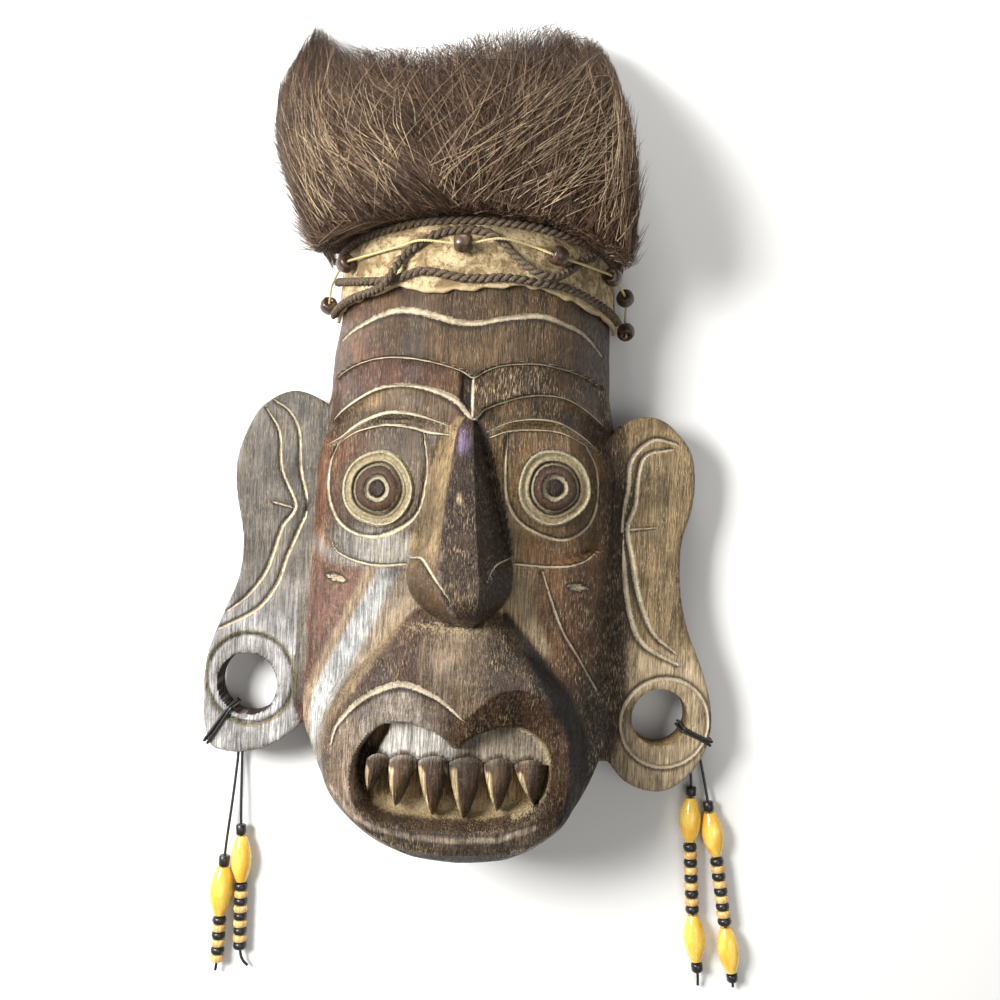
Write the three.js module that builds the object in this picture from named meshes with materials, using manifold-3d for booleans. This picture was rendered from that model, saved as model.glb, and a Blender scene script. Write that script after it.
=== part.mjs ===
// A carved hardwood wall mask with flat ears, a hide headband, a crest of fur and beaded ear cords.
// It lies on its back. +X is to the right of the face as seen from in front, +Y is up the face
// towards the fur, and +Z comes out of the face. The origin is under the middle of the whole mask.
// Everything is in millimetres.
import * as THREE from "three";
import { mergeVertices } from "three/addons/utils/BufferGeometryUtils.js";
import Module from "manifold-3d";

const wasm = await Module();
wasm.setup();

// Driving sizes of the head
const HALF_LENGTH = 224.5;
const CHIN_START_Y = -130;
const CHIN_ROLL_Y = -150;
const DOME_START_Y = 100;
const DOME_LENGTH = 38;
const CHIN_HALF_WIDTH = 89.3;
const CHIN_HEIGHT = 88;
const CHIN_SIDE_CURVE = 0.6;
const CHIN_FRONT_CURVE = 2.6;
// Below CHIN_ROLL_Y the section grows softer, and the chin drifts to the right
const CHIN_SOFTENING = 0.3;
const CHIN_SOFT_LENGTH = 60;
const CHIN_SHIFT = 3;
const SHIFT_START_Y = -140;
const SHIFT_LENGTH = 80;
const HEAD_END = 0.6;
// Places along the face: y, half width, height of the front, squareness of the section
const FACE_STATIONS = [
  [-150, 86.6, 88, 2.5],
  [-130, 89.3, 86.5, 2.65],
  [-95, 88.1, 84, 2.9],
  [-55, 86.6, 83, 3.1],
  [-15, 85, 85, 3.1],
  [12, 81.4, 90, 2.8],
  [38, 77.8, 93, 2.5],
  [65, 76.8, 93, 2.35],
  [100, 75.5, 92, 2.3],
];
const HEAD_COLUMNS = 14;

// The hollow in the back
const HOLLOW = { halfWidth: 70, height: 62, from: -198, to: 106, squareness: 3, below: -6 };

// Upright cuts reach this high, clear of the whole face
const CUT_TOP_Z = 140;

// Carved steps and lines of the face
const BROW_LINE = [[-76, 37], [-61, 42], [-48, 44.5], [-34, 44.5], [-18, 42], [-5, 38.5], [1, 35.5]];
const BROW_LINE_RIGHT = [[1, 35.5], [8, 39], [16, 42], [31, 44], [43, 43.5], [57, 41.5], [73, 37]];
const LID_LINE = [[-76, 14], [-61, 23], [-48, 29], [-34, 31], [-20, 29], [-7, 24], [1.8, 15]];
const LID_LINE_RIGHT = [[1.8, 15], [8, 20], [17, 24], [30, 28], [44, 29], [56, 26], [73, 17]];
const CHEEK_LINE = [[78, -46], [70, -52], [62, -56], [48, -59], [26, -58], [0, -60], [-28, -60.5],
  [-46, -62], [-65, -57], [-80, -46]];
const STEP_LOWEST_Z = 40;
const BROW_DROP = 2.4;
const LID_DROP = 5;
const FOREHEAD_LINE = [[-73, 57.5], [-62, 62], [-46.6, 67], [-35, 68.5], [-22, 66.2], [-8, 62.5],
  [3, 62.4], [14, 65], [33, 68.3], [46, 66.2], [58, 63], [70, 55]];
const LINE_WIDTH = 2.8;
const LINE_DEPTH = 1.5;

// Eyes, each on a flat cut back under the brow
const EYES = [[-46.3, -22.3], [45.6, -18]];
const SOCKET_LEFT = [[-70, 4], [-54, 13.1], [-40, 17], [-24, 15], [-21, 3], [-20.6, -11], [-24, -32],
  [-34.5, -43], [-50, -47.6], [-67, -41.5], [-74, -28], [-74.6, -10]];
const SOCKET_RIGHT = [[19.5, 9], [33, 11.4], [47, 11], [62, 5], [69, -6.5], [70, -25], [64, -39],
  [50, -45], [31, -38.7], [21.7, -27], [19.4, -9.4]];
const SOCKET_HEIGHT = 71;
const SOCKET_SLOPE = 0.38;
const SOCKET_MIDDLE_X = 45.5;
// Radius and height over the socket, from the middle of the pupil out to the rim
const EYE_PROFILE = [[0, 4.4], [3.9, 4.4], [5.2, 3.1], [6.9, 5], [12.3, 3.4], [13.2, 0.9], [15.9, 2.5],
  [18.8, 0.4], [18.8, -6], [0, -6]];
const EYE_SIDES = 14;

// Nose rows: y, left foot x, left wing x and z, left and right ridge x, ridge z,
// right wing x and z, right foot x
const NOSE_FOOT_Z = 55;
const NOSE_ROWS = [
  [17, -4, -3, 84, -1, 2, 85, 4, 84, 5],
  [6, -13, -10, 84, -5.5, 2, 91, 9, 84, 12],
  [-18, -23, -20, 80, -8, 4.5, 99, 17, 80, 21],
  [-54, -27, -24, 82, -12.4, 18.6, 113, 24, 82, 26.5],
  [-60, -27.5, -26, 93, -12.6, 18.4, 115, 25.2, 93, 27],
  [-73, -26, -24.5, 96, -9, 16.5, 118, 24, 96, 26],
  [-81, -19, -17, 94, -4, 13, 115, 19, 94, 21],
  [-88, -5, -3, 90, 2, 8, 97, 12, 90, 14],
];

// Muzzle rows: y, left edge, right edge, height of the top
const MUZZLE_ROWS = [
  [-76, -22, 21, 84],
  [-86, -30, 26, 89],
  [-99, -38, 31.5, 94],
  [-113, -49, 43.5, 98],
  [-126, -59, 56, 99],
  [-141, -65.5, 61, 98],
  [-158, -67, 62, 97],
  [-175, -64.5, 61.5, 95],
  [-190, -55, 57.5, 92],
  [-202, -41, 46, 87],
  [-211, -24, 31, 78],
  [-217, -10, 16, 66],
];

// Muzzle section: place across as a share of the width, and height over the row's top
const MUZZLE_SECTION = [[-0.5, -16], [-0.43, -5], [-0.2, -0.5], [0, 1], [0.2, -0.5], [0.43, -5], [0.5, -16]];
const MUZZLE_FOOT = { spread: 3, z: 40 };

// Mouth: the heart-topped opening, the gum and the fangs
const MOUTH_DIP = [0.5, -151.3];
const MOUTH_RIM = [[12.6, -143.2], [27.5, -139], [40.3, -143], [48.4, -153], [48.3, -171], [39.6, -184.7],
  [19.8, -192.1], [-5.3, -193.1], [-30.7, -191.3], [-45.3, -185], [-51.1, -172.8], [-49.7, -157.6],
  [-40.3, -144], [-27.8, -139.4], [-12.4, -142.8]];
const GUM_HEIGHT = 81;
const MOUTH_FLOOR = 68;
const GUM_LINE_Y = -160.5;
// Fangs: left edge, right edge, tip x, tip y
const FANGS = [
  [-43.8, -33.2, -43, -175.5],
  [-32.3, -18.6, -29, -183.5],
  [-18.2, -2.8, -10, -187.5],
  [-2.2, 14.9, 6.2, -188.5],
  [15.7, 30.4, 23.1, -184],
  [30.9, 45, 44, -180],
];
const FANG = { height: 88, bulge: 5, tipDrop: 4, flankDrop: 4.5, tipHalfWidth: 0.9, root: 3 };

// Cheeks: creases and small nicks
const CREASE_LEFT = [[-47, -64], [-55, -80], [-64.2, -98.6], [-73, -115], [-80, -129]];
const CREASE_RIGHT = [[41, -61.4], [51, -84], [63, -106.6], [73, -124]];
const NICKS = [[-67, -70], [60, -69.2]];
const NICK_LENGTH = 13;
const NICK_WIDTH = 4.5;
const NICK_DEPTH = 2;

// Ears, flat slabs that lean back
const EAR_THICKNESS = 19.2;
const EAR_FRONT_Z = 36;
const EAR_ROOT_X = 82;
const EAR_LEAN = Math.tan(THREE.MathUtils.degToRad(9));
const EAR_INSIDE = 73;
const EARS = [
  {
    side: "left",
    outline: [[-85, 27], [-92.6, 30], [-101.4, 29.7], [-120.8, 16], [-129.1, -5], [-129.7, -24.6],
      [-124.5, -52], [-126, -74.3], [-133.1, -92.7], [-142.5, -119.7], [-143.4, -148], [-139.9, -166],
      [-133.9, -171.2], [-118, -171.3], [-101.2, -165.1], [-86.1, -153]],
    hole: [-118.7, -133.5, 17.3],
    ring: [-117, -130.2, 24.6],
    lines: [
      [[-109.8, 24.5], [-100.9, 18.7], [-94.8, 7.3], [-92.9, -13.4], [-88, -33.3]],
      [[-88, -33.3], [-92.4, -46.2], [-98.7, -61.8], [-103.7, -77.2], [-114.5, -91.7], [-136, -104]],
      [[-113.8, 19.4], [-106.1, 6.9], [-103.7, -13.8], [-95, -33.4]],
      [[-95, -33.4], [-102.3, -45.6], [-106.8, -60.8], [-111.1, -72.1], [-120.6, -84.8], [-131.8, -93.8]],
      [[-107.2, -32], [-97.8, -34.3]],
    ],
    cordAngle: -123,
  },
  {
    side: "right",
    outline: [[83, 20], [98.3, 23.5], [112.8, 17.6], [122.6, 5.9], [125.6, -9.6], [124.5, -26.3],
      [119.5, -46], [120, -71], [125, -93], [133.2, -112.4], [138.8, -129.1], [141, -143],
      [139.5, -157], [131.5, -172.1], [120, -181.6], [107.5, -183.3], [93.2, -177.8], [83.2, -166.9]],
    hole: [111.4, -142.3, 15.9],
    ring: [114.1, -145, 24.6],
    lines: [
      [[113.7, 9.6], [100.6, 11.2], [89.2, -0.2], [87.8, -17.6], [85, -37.9]],
      [[85, -37.9], [87.4, -59.3], [91.2, -82.4], [99.3, -100.9], [119.1, -112.1]],
      [[111, 6.4], [97, 2.4], [93.3, -10.2], [92.6, -24.7], [88.6, -37.8]],
      [[88.6, -37.8], [91.6, -53.6], [97, -76.7], [105.3, -95.2], [117.7, -105.5]],
      [[88.9, -38.8], [103.9, -37.1]],
    ],
    cordAngle: -25,
  },
];
const EAR_HOLE_SIDES = 16;
const RING_HALF_WIDTH = 3;

// Headband: a hide strip close over the wood, with three ropes on it
const FIT_GAP = 0.3;
const HIDE_THICKNESS = 2;
const HIDE_LOWER_EDGE = [[-92, 62], [-79, 69], [-71, 74], [-54, 77], [-38, 80], [-22, 77], [0.5, 78.5],
  [23, 81.5], [43.5, 79.3], [60.5, 75.6], [77, 72], [92, 66]];
const HIDE_TOP_Y = 121;
const HIDE_LOWEST_Z = 8;
const HIDE_REACH = 92;
const ROPE_RADIUS = 2.4;
const ROPE_SIDES = 5;
const ROPE_LIFT = 0.8;
// Rope routes: x, y and how far a rope is lifted where it passes over another
const UPPER_ROPE = [[-78, 103, 0], [-71, 107, 0], [-57, 109, 0], [-31.5, 112.6, 0], [-14, 113.6, 0],
  [0, 114, 0], [9, 113.8, 0], [28.6, 113, 0], [50.4, 110.5, 0], [63, 109.5, 0], [71, 107.5, 0],
  [78.5, 104, 0]];
const LOWER_ROPE = [[-78.6, 92.5, 0], [-70.5, 88, 0], [-57.5, 84.6, 0], [-42.5, 83.3, 0], [-28, 86.9, 0],
  [-18.6, 86.2, 0], [-7, 84, 0], [4.8, 84, 0], [15.7, 85, 0], [25.2, 84.5, 0], [34.3, 83.8, 0],
  [43, 84, 0], [51.3, 82.8, 0], [60, 80.8, 0], [70, 78.5, 0], [79.3, 76.5, 0]];
const ZIGZAG_ROPE = [[-79.6, 73.5, 0.4], [-66, 76.5, 0.6], [-54, 78, 0.8], [-46.5, 79.6, 3.8],
  [-42, 84.5, 5.6], [-38.6, 91, 2.6], [-34.5, 96.6, 0], [-24, 103.6, 0], [-15, 107.2, 0],
  [-3, 108.4, 0], [5, 107.4, 0], [11.8, 103.9, 0], [17.5, 98.4, 0], [24.9, 91.8, 2.4],
  [31, 87.8, 5.2], [38, 86.4, 5.6], [44.6, 89.4, 3.2], [50.7, 95.4, 0], [56.5, 100.4, 0],
  [61.5, 103.6, 0]];
const ROPE_STEPS = { upper_rope: 16, lower_rope: 20, zigzag_rope: 26 };

// Twine with nut beads: x, y, lift over the wood, and 1 where a bead sits
const TWINE_RADIUS = 0.6;
const TWINE_ROUTE = [[-85.2, 81.5, 9.4, 1], [-80.5, 90, 8.4, 0], [-69.5, 96.2, 8, 1], [-50, 98.6, 4.4, 0],
  [-38, 100, 5.6, 0], [-27, 101.4, 9.2, 0], [-6, 100.4, 8.2, 1], [13, 103.4, 9.2, 0], [29, 101.8, 5, 0],
  [41.5, 98.3, 8, 1], [57.8, 96.4, 8.8, 0], [72.6, 96.2, 8.2, 1], [83, 91, 9, 1],
  [85, 82, 9, 0], [84.6, 72.8, 9, 1]];
const NUT_RADIUS = 4.7;
const NUT_HALF_LENGTH = 4.3;

// Fur crest: outline of the whole tuft, and its height along the way
const FUR_OUTLINE = [[-84, 107], [-91, 112], [-102, 141.7], [-111.5, 169.7], [-111.3, 191.5],
  [-101.5, 213.6], [-92.3, HALF_LENGTH], [-85, 208.9], [-73, 192.4], [-53.3, 190.3], [-34.8, 202.5],
  [-14, 214], [6.7, 221.8], [33, HALF_LENGTH], [51.7, 219.6], [66, 206.2], [75.7, 181.6], [82.3, 156.5],
  [86, 132], [86.5, 108]];
const FUR_LOWER_EDGE = [[70, 112], [50, 115.5], [28.6, 118], [0, 119], [-31.5, 117.6], [-57, 114],
  [-70, 112]];
// y, highest point, squareness
const FUR_ROWS = [[100, 103], [118, 107], [138, 104], [160, 93], [185, 76], [208, 56], [226, 34]];
const FUR_HALF_WIDTH = 118;
const FUR_LOWEST_Z = 2.5;
const FUR_ROUNDNESS = 0.8;

// Ear cords and beads
const CORD_RADIUS = 0.8;
const CORD_SIDES = 8;
const LOOP_SIDES = 6;
const CORD_STEPS = 12;
const LOOP_CLEARANCE = 1.6;
const BORE_RADIUS = 1.9;
const BEAD_SIDES = 7;
const RING_SIDES = 6;
// Routes of the four hanging strands, from behind the ear lobe to the knot
const STRANDS = [
  {
    name: "left_outer",
    route: [[-130, -160, 4.4], [-128.6, -166, 4.2], [-127.6, -172, 4.2], [-127.4, -180, 4.5],
      [-128, -190, 5], [-128.9, -202, 5.6], [-130, -214, 6.2], [-131.1, -226, 6.8], [-131.9, -236, 7.1],
      [-132.5, -245, 7.1], [-133, -254, 6.9], [-133.4, -263, 6.7], [-133.7, -272, 6.4], [-133.9, -283, 6],
      [-134.2, -294, 5.6], [-134.6, -300, 5.2], [-135.2, -304, 4.6]],
    beads: [["tube", -239.6, 6, 6.2], ["oval", -257.1, 28, 13.4], ["rings", -285.2, 26.4, 8.2]],
  },
  {
    name: "left_inner",
    route: [[-123.6, -160, 4.4], [-124.4, -166, 4.2], [-125, -172, 4.2], [-125, -180, 4.5],
      [-124.7, -190, 5], [-124.3, -202, 5.6], [-123.9, -212, 6.1], [-123.4, -221, 6.3], [-122.9, -230, 6.3],
      [-122.5, -239, 6.2], [-122.3, -248, 6], [-122.1, -257, 5.8], [-121.9, -268, 5.5], [-121.7, -279, 5.2],
      [-121.3, -289, 4.9], [-121, -294, 4.6], [-119.6, -298, 4], [-117, -301, 3.4]],
    beads: [["tube", -221.6, 5.8, 5.8], ["oval", -238.4, 26.4, 12], ["rings", -271.7, 38.6, 8]],
  },
  {
    name: "right_inner",
    route: [[131.5, -163, 4.4], [132.8, -169, 4.2], [134.2, -176, 4.3], [134.9, -183, 5], [135, -190, 5.8],
      [135, -197, 6.3], [135.1, -206, 6.4], [135.3, -215, 6.4], [135.9, -224, 6.4], [136.8, -235, 6.4],
      [137.7, -246, 6.4], [138.6, -256, 6.4], [139.7, -266, 6.4], [140.9, -276, 6.4], [142.1, -285, 6.2],
      [143.2, -292, 5.5], [143.9, -297, 4.4], [144.2, -301, 3.4]],
    beads: [["tube", -188.4, 5.4, 6], ["oval", -204.6, 25.2, 12.4], ["rings", -238.3, 40.4, 8.2],
      ["oval", -272.8, 26.6, 12.4], ["tube", -289.6, 4.8, 6.6]],
  },
  {
    name: "right_outer",
    route: [[136.5, -158, 4.4], [138.4, -165, 4.2], [140.4, -173, 4.3], [142.2, -181, 4.8],
      [143.9, -189, 5.6], [145.4, -197, 6.2], [147, -205, 6.4], [148.6, -213, 6.4], [150.2, -221, 6.4],
      [152, -231, 6.4], [153.9, -242, 6.4], [155.8, -253, 6.4], [157.6, -263, 6.4], [159.4, -273, 6.4],
      [161.2, -283, 6.4], [162.7, -291, 6], [163.8, -297, 4.9], [164.5, -301, 3.8]],
    beads: [["tube", -196.5, 5.4, 6], ["oval", -212.4, 25.2, 12.6], ["rings", -245.2, 39.2, 8.2],
      ["oval", -278.8, 26, 12.4], ["tube", -294.8, 4.4, 6.4]],
  },
];
const RING_LENGTH = 4.4;
const OVAL_TAPER = 2.2;
const RING_WAIST = 0.82;

const paint = {
  wood: () => new THREE.MeshStandardMaterial({ color: 0x4a3426, roughness: 0.35, metalness: 0 }),
  hide: () => new THREE.MeshStandardMaterial({ color: 0xc6a678, roughness: 0.85, metalness: 0 }),
  fur: () => new THREE.MeshStandardMaterial({ color: 0x54402f, roughness: 0.9, metalness: 0 }),
  rope: () => new THREE.MeshStandardMaterial({ color: 0x4a4038, roughness: 0.9, metalness: 0 }),
  twine: () => new THREE.MeshStandardMaterial({ color: 0xdccd96, roughness: 0.8, metalness: 0 }),
  nut: () => new THREE.MeshStandardMaterial({ color: 0x5a3324, roughness: 0.4, metalness: 0 }),
  cord: () => new THREE.MeshStandardMaterial({ color: 0x262524, roughness: 0.5, metalness: 0 }),
  yellow: () => new THREE.MeshStandardMaterial({ color: 0xf0bc3c, roughness: 0.2, metalness: 0 }),
  tan: () => new THREE.MeshStandardMaterial({ color: 0xe6c387, roughness: 0.45, metalness: 0 }),
};

const mask = new THREE.Group();

// Turns a closed geometry into a solid that can be joined and cut.
function solid(geometry) {
  const plain = geometry.clone();
  plain.deleteAttribute("normal");
  plain.deleteAttribute("uv");
  const merged = mergeVertices(plain, 1e-4);
  const vertProperties = new Float32Array(merged.attributes.position.array);
  const triVerts = new Uint32Array(merged.index.array);
  return new wasm.Manifold(new wasm.Mesh({ numProp: 3, vertProperties, triVerts }));
}

function geometryOf(body) {
  const { vertProperties, triVerts } = body.getMesh();
  const geometry = new THREE.BufferGeometry();
  geometry.setAttribute("position", new THREE.BufferAttribute(new Float32Array(vertProperties), 3));
  geometry.setIndex(new THREE.BufferAttribute(new Uint32Array(triVerts), 1));
  geometry.computeVertexNormals();
  return geometry;
}

function addPiece(name, geometry, material) {
  const mesh = new THREE.Mesh(geometry, material);
  mesh.name = name;
  mask.add(mesh);
  return mesh;
}

// Joins rows of points, each row one loop with the same count, into a closed skin.
function loft(rows, closed = false) {
  const count = rows[0].length;
  const points = rows.flat();
  const faces = [];
  const spans = closed ? rows.length : rows.length - 1;
  for (let i = 0; i < spans; i++) {
    const next = (i + 1) % rows.length;
    for (let j = 0; j < count; j++) {
      const a = i * count + j;
      const b = i * count + ((j + 1) % count);
      const c = next * count + ((j + 1) % count);
      const d = next * count + j;
      faces.push(a, b, c, a, c, d);
    }
  }
  if (!closed) {
    const last = (rows.length - 1) * count;
    for (let j = 1; j < count - 1; j++) {
      faces.push(0, j + 1, j, last, last + j, last + j + 1);
    }
  }
  const geometry = new THREE.BufferGeometry().setFromPoints(points);
  geometry.setIndex(faces);
  return geometry;
}

// A loft may come out inside out, depending on which way its rows run, so this turns it right.
function loftSolid(rows, closed = false) {
  const geometry = loft(rows, closed);
  const body = solid(geometry);
  if (body.volume() > 0) return body;
  const turned = loft(rows.map((row) => [...row].reverse()), closed);
  return solid(turned);
}

function eased(t) {
  return t * t * (3 - 2 * t);
}

function station(y, column) {
  const first = FACE_STATIONS[0];
  const last = FACE_STATIONS[FACE_STATIONS.length - 1];
  if (y <= first[0]) return first[column];
  for (let i = 1; i < FACE_STATIONS.length; i++) {
    const from = FACE_STATIONS[i - 1];
    const to = FACE_STATIONS[i];
    if (y <= to[0]) {
      return from[column] + (to[column] - from[column]) * eased((y - from[0]) / (to[0] - from[0]));
    }
  }
  return last[column];
}

function domeShare(y) {
  const t = Math.min(1, Math.max(0, (y - DOME_START_Y) / DOME_LENGTH));
  return Math.sqrt(1 - t * t);
}

function halfWidthAt(y) {
  if (y > DOME_START_Y) return station(DOME_START_Y, 1) * domeShare(y);
  if (y > CHIN_START_Y) return station(y, 1);
  const t = Math.min(1, (CHIN_START_Y - y) / (HALF_LENGTH + CHIN_START_Y));
  return CHIN_HALF_WIDTH * (1 - t * t) ** CHIN_SIDE_CURVE;
}

function heightAt(y) {
  if (y > DOME_START_Y) return station(DOME_START_Y, 2) * domeShare(y);
  if (y > CHIN_ROLL_Y) return station(y, 2);
  const t = Math.min(1, (CHIN_ROLL_Y - y) / (HALF_LENGTH + CHIN_ROLL_Y));
  return CHIN_HEIGHT * Math.sqrt(1 - t ** CHIN_FRONT_CURVE);
}

function squarenessAt(y) {
  if (y > CHIN_ROLL_Y) return station(y, 3);
  const share = Math.min(1, (CHIN_ROLL_Y - y) / CHIN_SOFT_LENGTH);
  return station(CHIN_ROLL_Y, 3) - CHIN_SOFTENING * share;
}

function middleAt(y) {
  const t = Math.min(1, Math.max(0, (SHIFT_START_Y - y) / SHIFT_LENGTH));
  return CHIN_SHIFT * eased(t);
}

// A point of the bare head, or of a skin that lies the given distance over it
function skinPoint(x, y, over = 0) {
  const halfWidth = halfWidthAt(y) + over;
  const share = Math.min(1, Math.abs(x - middleAt(y)) / halfWidth);
  const z = (heightAt(y) + over) * Math.sqrt(1 - share ** squarenessAt(y));
  return new THREE.Vector3(x, y, z);
}

// One section of the head, round the front and straight across the back
function headRow(y, over) {
  const halfWidth = Math.max(HEAD_END, halfWidthAt(y) + over);
  const height = Math.max(HEAD_END, heightAt(y) + over);
  const row = [];
  for (let i = 0; i <= HEAD_COLUMNS; i++) {
    const angle = (Math.PI * i) / HEAD_COLUMNS;
    const cosine = Math.cos(angle);
    const x = middleAt(y) + halfWidth * Math.sign(cosine) * Math.abs(cosine) ** (2 / squarenessAt(y));
    row.push(new THREE.Vector3(x, y, Math.max(0, height * Math.sin(angle))));
  }
  return row;
}

function headBody(over, from = -HALF_LENGTH) {
  const rows = [];
  const chinSteps = 8;
  for (let i = 0; i <= chinSteps; i++) {
    const turn = (Math.PI / 2) * (1 - i / chinSteps);
    rows.push(CHIN_START_Y - (HALF_LENGTH + CHIN_START_Y) * Math.sin(turn));
  }
  for (const y of [-105, -80, -55, -30, -8, 12, 32, 52, 75, DOME_START_Y]) rows.push(y);
  const domeSteps = 4;
  for (let i = 1; i <= domeSteps; i++) {
    rows.push(DOME_START_Y + DOME_LENGTH * Math.sin((Math.PI / 2) * (i / domeSteps)));
  }
  return loftSolid(rows.filter((y) => y >= from).map((y) => headRow(y, over)));
}

// A smooth outline through a few points
function smooth(points, divisions) {
  return new THREE.SplineCurve(points.map(([x, y]) => new THREE.Vector2(x, y))).getPoints(divisions);
}

// An upright block over an outline, with its foot on a plane that may lean
function block(outline, from, to, lean = () => 0) {
  const geometry = new THREE.ExtrudeGeometry(new THREE.Shape(outline), {
    depth: to - from,
    bevelEnabled: false,
    curveSegments: 1,
  });
  geometry.translate(0, 0, from);
  const position = geometry.attributes.position;
  for (let i = 0; i < position.count; i++) {
    position.setZ(i, position.getZ(i) + lean(position.getX(i)));
  }
  return solid(geometry);
}

// A V-shaped cut along a line on a surface
function groove(points, steps, width, depth, heightOver) {
  const line = new THREE.SplineCurve(points.map(([x, y]) => new THREE.Vector2(x, y)));
  const rows = [];
  for (let i = 0; i <= steps; i++) {
    const at = line.getPointAt(i / steps);
    const along = line.getTangentAt(i / steps);
    const z = heightOver(at.x, at.y);
    const lift = 2;
    const spread = (width / 2) * (1 + lift / depth);
    rows.push([
      new THREE.Vector3(at.x - along.y * spread, at.y + along.x * spread, z + lift),
      new THREE.Vector3(at.x, at.y, z - depth),
      new THREE.Vector3(at.x + along.y * spread, at.y - along.x * spread, z + lift),
    ]);
  }
  return loftSolid(rows);
}

// Lowers the face inside an outline, so that its edge stands as a carved step
function sink(body, outline, drop) {
  return body.subtract(block(outline, STEP_LOWEST_Z, CUT_TOP_Z).subtract(headBody(-drop)));
}

function ovalHollow() {
  const rows = [];
  const steps = 10;
  const columns = 8;
  const middle = (HOLLOW.from + HOLLOW.to) / 2;
  const reach = (HOLLOW.to - HOLLOW.from) / 2;
  for (let i = 0; i <= steps; i++) {
    const along = -Math.cos((Math.PI * i) / steps);
    const share = Math.max(0.02, (1 - Math.abs(along) ** HOLLOW.squareness) ** 0.5);
    const row = [];
    for (let j = 0; j <= columns; j++) {
      const angle = (Math.PI * j) / columns;
      const x = HOLLOW.halfWidth * share * Math.cos(angle);
      row.push(new THREE.Vector3(x, middle + reach * along, HOLLOW.height * share * Math.sin(angle)));
    }
    row.push(new THREE.Vector3(-HOLLOW.halfWidth * share, middle + reach * along, HOLLOW.below));
    row.push(new THREE.Vector3(HOLLOW.halfWidth * share, middle + reach * along, HOLLOW.below));
    rows.push(row);
  }
  return loftSolid(rows);
}

function socketLean(x) {
  return -SOCKET_SLOPE * (Math.abs(x) - SOCKET_MIDDLE_X);
}

function eyeBody([x, y]) {
  const profile = EYE_PROFILE.map(([radius, height]) => new THREE.Vector2(radius, height)).reverse();
  const geometry = new THREE.LatheGeometry(profile, EYE_SIDES);
  geometry.rotateX(Math.PI / 2);
  geometry.translate(x, y, SOCKET_HEIGHT);
  const position = geometry.attributes.position;
  for (let i = 0; i < position.count; i++) {
    position.setZ(i, position.getZ(i) + socketLean(position.getX(i)));
  }
  return solid(geometry);
}

function noseBody() {
  return loftSolid(NOSE_ROWS.map((row) => {
    const [y, footL, wingL, wingLZ, ridgeL, ridgeR, ridgeZ, wingR, wingRZ, footR] = row;
    return [
      new THREE.Vector3(footL, y, NOSE_FOOT_Z),
      new THREE.Vector3(wingL, y, wingLZ),
      new THREE.Vector3(ridgeL, y, ridgeZ),
      new THREE.Vector3(ridgeR, y, ridgeZ),
      new THREE.Vector3(wingR, y, wingRZ),
      new THREE.Vector3(footR, y, NOSE_FOOT_Z),
    ];
  }));
}

function muzzleBody() {
  return loftSolid(MUZZLE_ROWS.map(([y, left, right, top]) => {
    const middle = (left + right) / 2;
    const width = right - left;
    return [
      new THREE.Vector3(left - MUZZLE_FOOT.spread, y, MUZZLE_FOOT.z),
      ...MUZZLE_SECTION.map(([share, over]) => new THREE.Vector3(middle + width * share, y, top + over)),
      new THREE.Vector3(right + MUZZLE_FOOT.spread, y, MUZZLE_FOOT.z),
    ];
  }));
}

function mouthOutline() {
  return smooth([MOUTH_DIP, ...MOUTH_RIM, MOUTH_DIP], 23);
}

function fangBody([left, right, tipX, tipY]) {
  const rows = [0, 0.3, 0.7, 1].map((share) => {
    const middle = THREE.MathUtils.lerp((left + right) / 2, tipX, share);
    const half = Math.max(FANG.tipHalfWidth, ((right - left) / 2) * (1 - share) ** 0.75);
    const y = THREE.MathUtils.lerp(GUM_LINE_Y, tipY, share);
    const front = FANG.height + FANG.bulge * share * (1 - share) - FANG.tipDrop * share;
    const foot = MOUTH_FLOOR - FANG.root;
    return [
      new THREE.Vector3(middle - half, y, foot),
      new THREE.Vector3(middle - half, y, front - FANG.flankDrop),
      new THREE.Vector3(middle, y, front),
      new THREE.Vector3(middle + half, y, front - FANG.flankDrop),
      new THREE.Vector3(middle + half, y, foot),
    ];
  });
  return loftSolid(rows);
}

function earTop(x) {
  return EAR_FRONT_Z - EAR_LEAN * (Math.abs(x) - EAR_ROOT_X);
}

function earBody(ear) {
  const side = Math.sign(ear.outline[0][0]);
  const edge = smooth(ear.outline, 23);
  const root = [
    new THREE.Vector2(side * EAR_INSIDE, ear.outline[ear.outline.length - 1][1]),
    new THREE.Vector2(side * EAR_INSIDE, ear.outline[0][1]),
  ];
  const lean = (x) => earTop(x) - EAR_FRONT_Z;
  return block([...edge, ...root], EAR_FRONT_Z - EAR_THICKNESS, EAR_FRONT_Z, lean);
}

function circle([x, y, radius], sides) {
  return new THREE.EllipseCurve(x, y, radius, radius).getPoints(sides).slice(0, sides);
}

function earCuts(ear) {
  const cuts = [block(circle(ear.hole, EAR_HOLE_SIDES), -EAR_THICKNESS, CUT_TOP_Z)];
  const ringSteps = 17;
  const [x, y, radius] = ear.ring;
  const rows = [];
  for (let i = 0; i < ringSteps; i++) {
    const angle = (2 * Math.PI * i) / ringSteps;
    const spot = (r, over) => {
      const px = x + r * Math.cos(angle);
      return new THREE.Vector3(px, y + r * Math.sin(angle), earTop(px) + over);
    };
    rows.push([
      spot(radius + RING_HALF_WIDTH, 2),
      spot(radius, -LINE_DEPTH),
      spot(radius - RING_HALF_WIDTH, 2),
    ]);
  }
  cuts.push(loftSolid(rows, true));
  for (const line of ear.lines) {
    const steps = line.length > 2 ? 5 : 1;
    cuts.push(groove(line, steps, LINE_WIDTH, LINE_DEPTH, (px) => earTop(px)));
  }
  return cuts;
}

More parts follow.
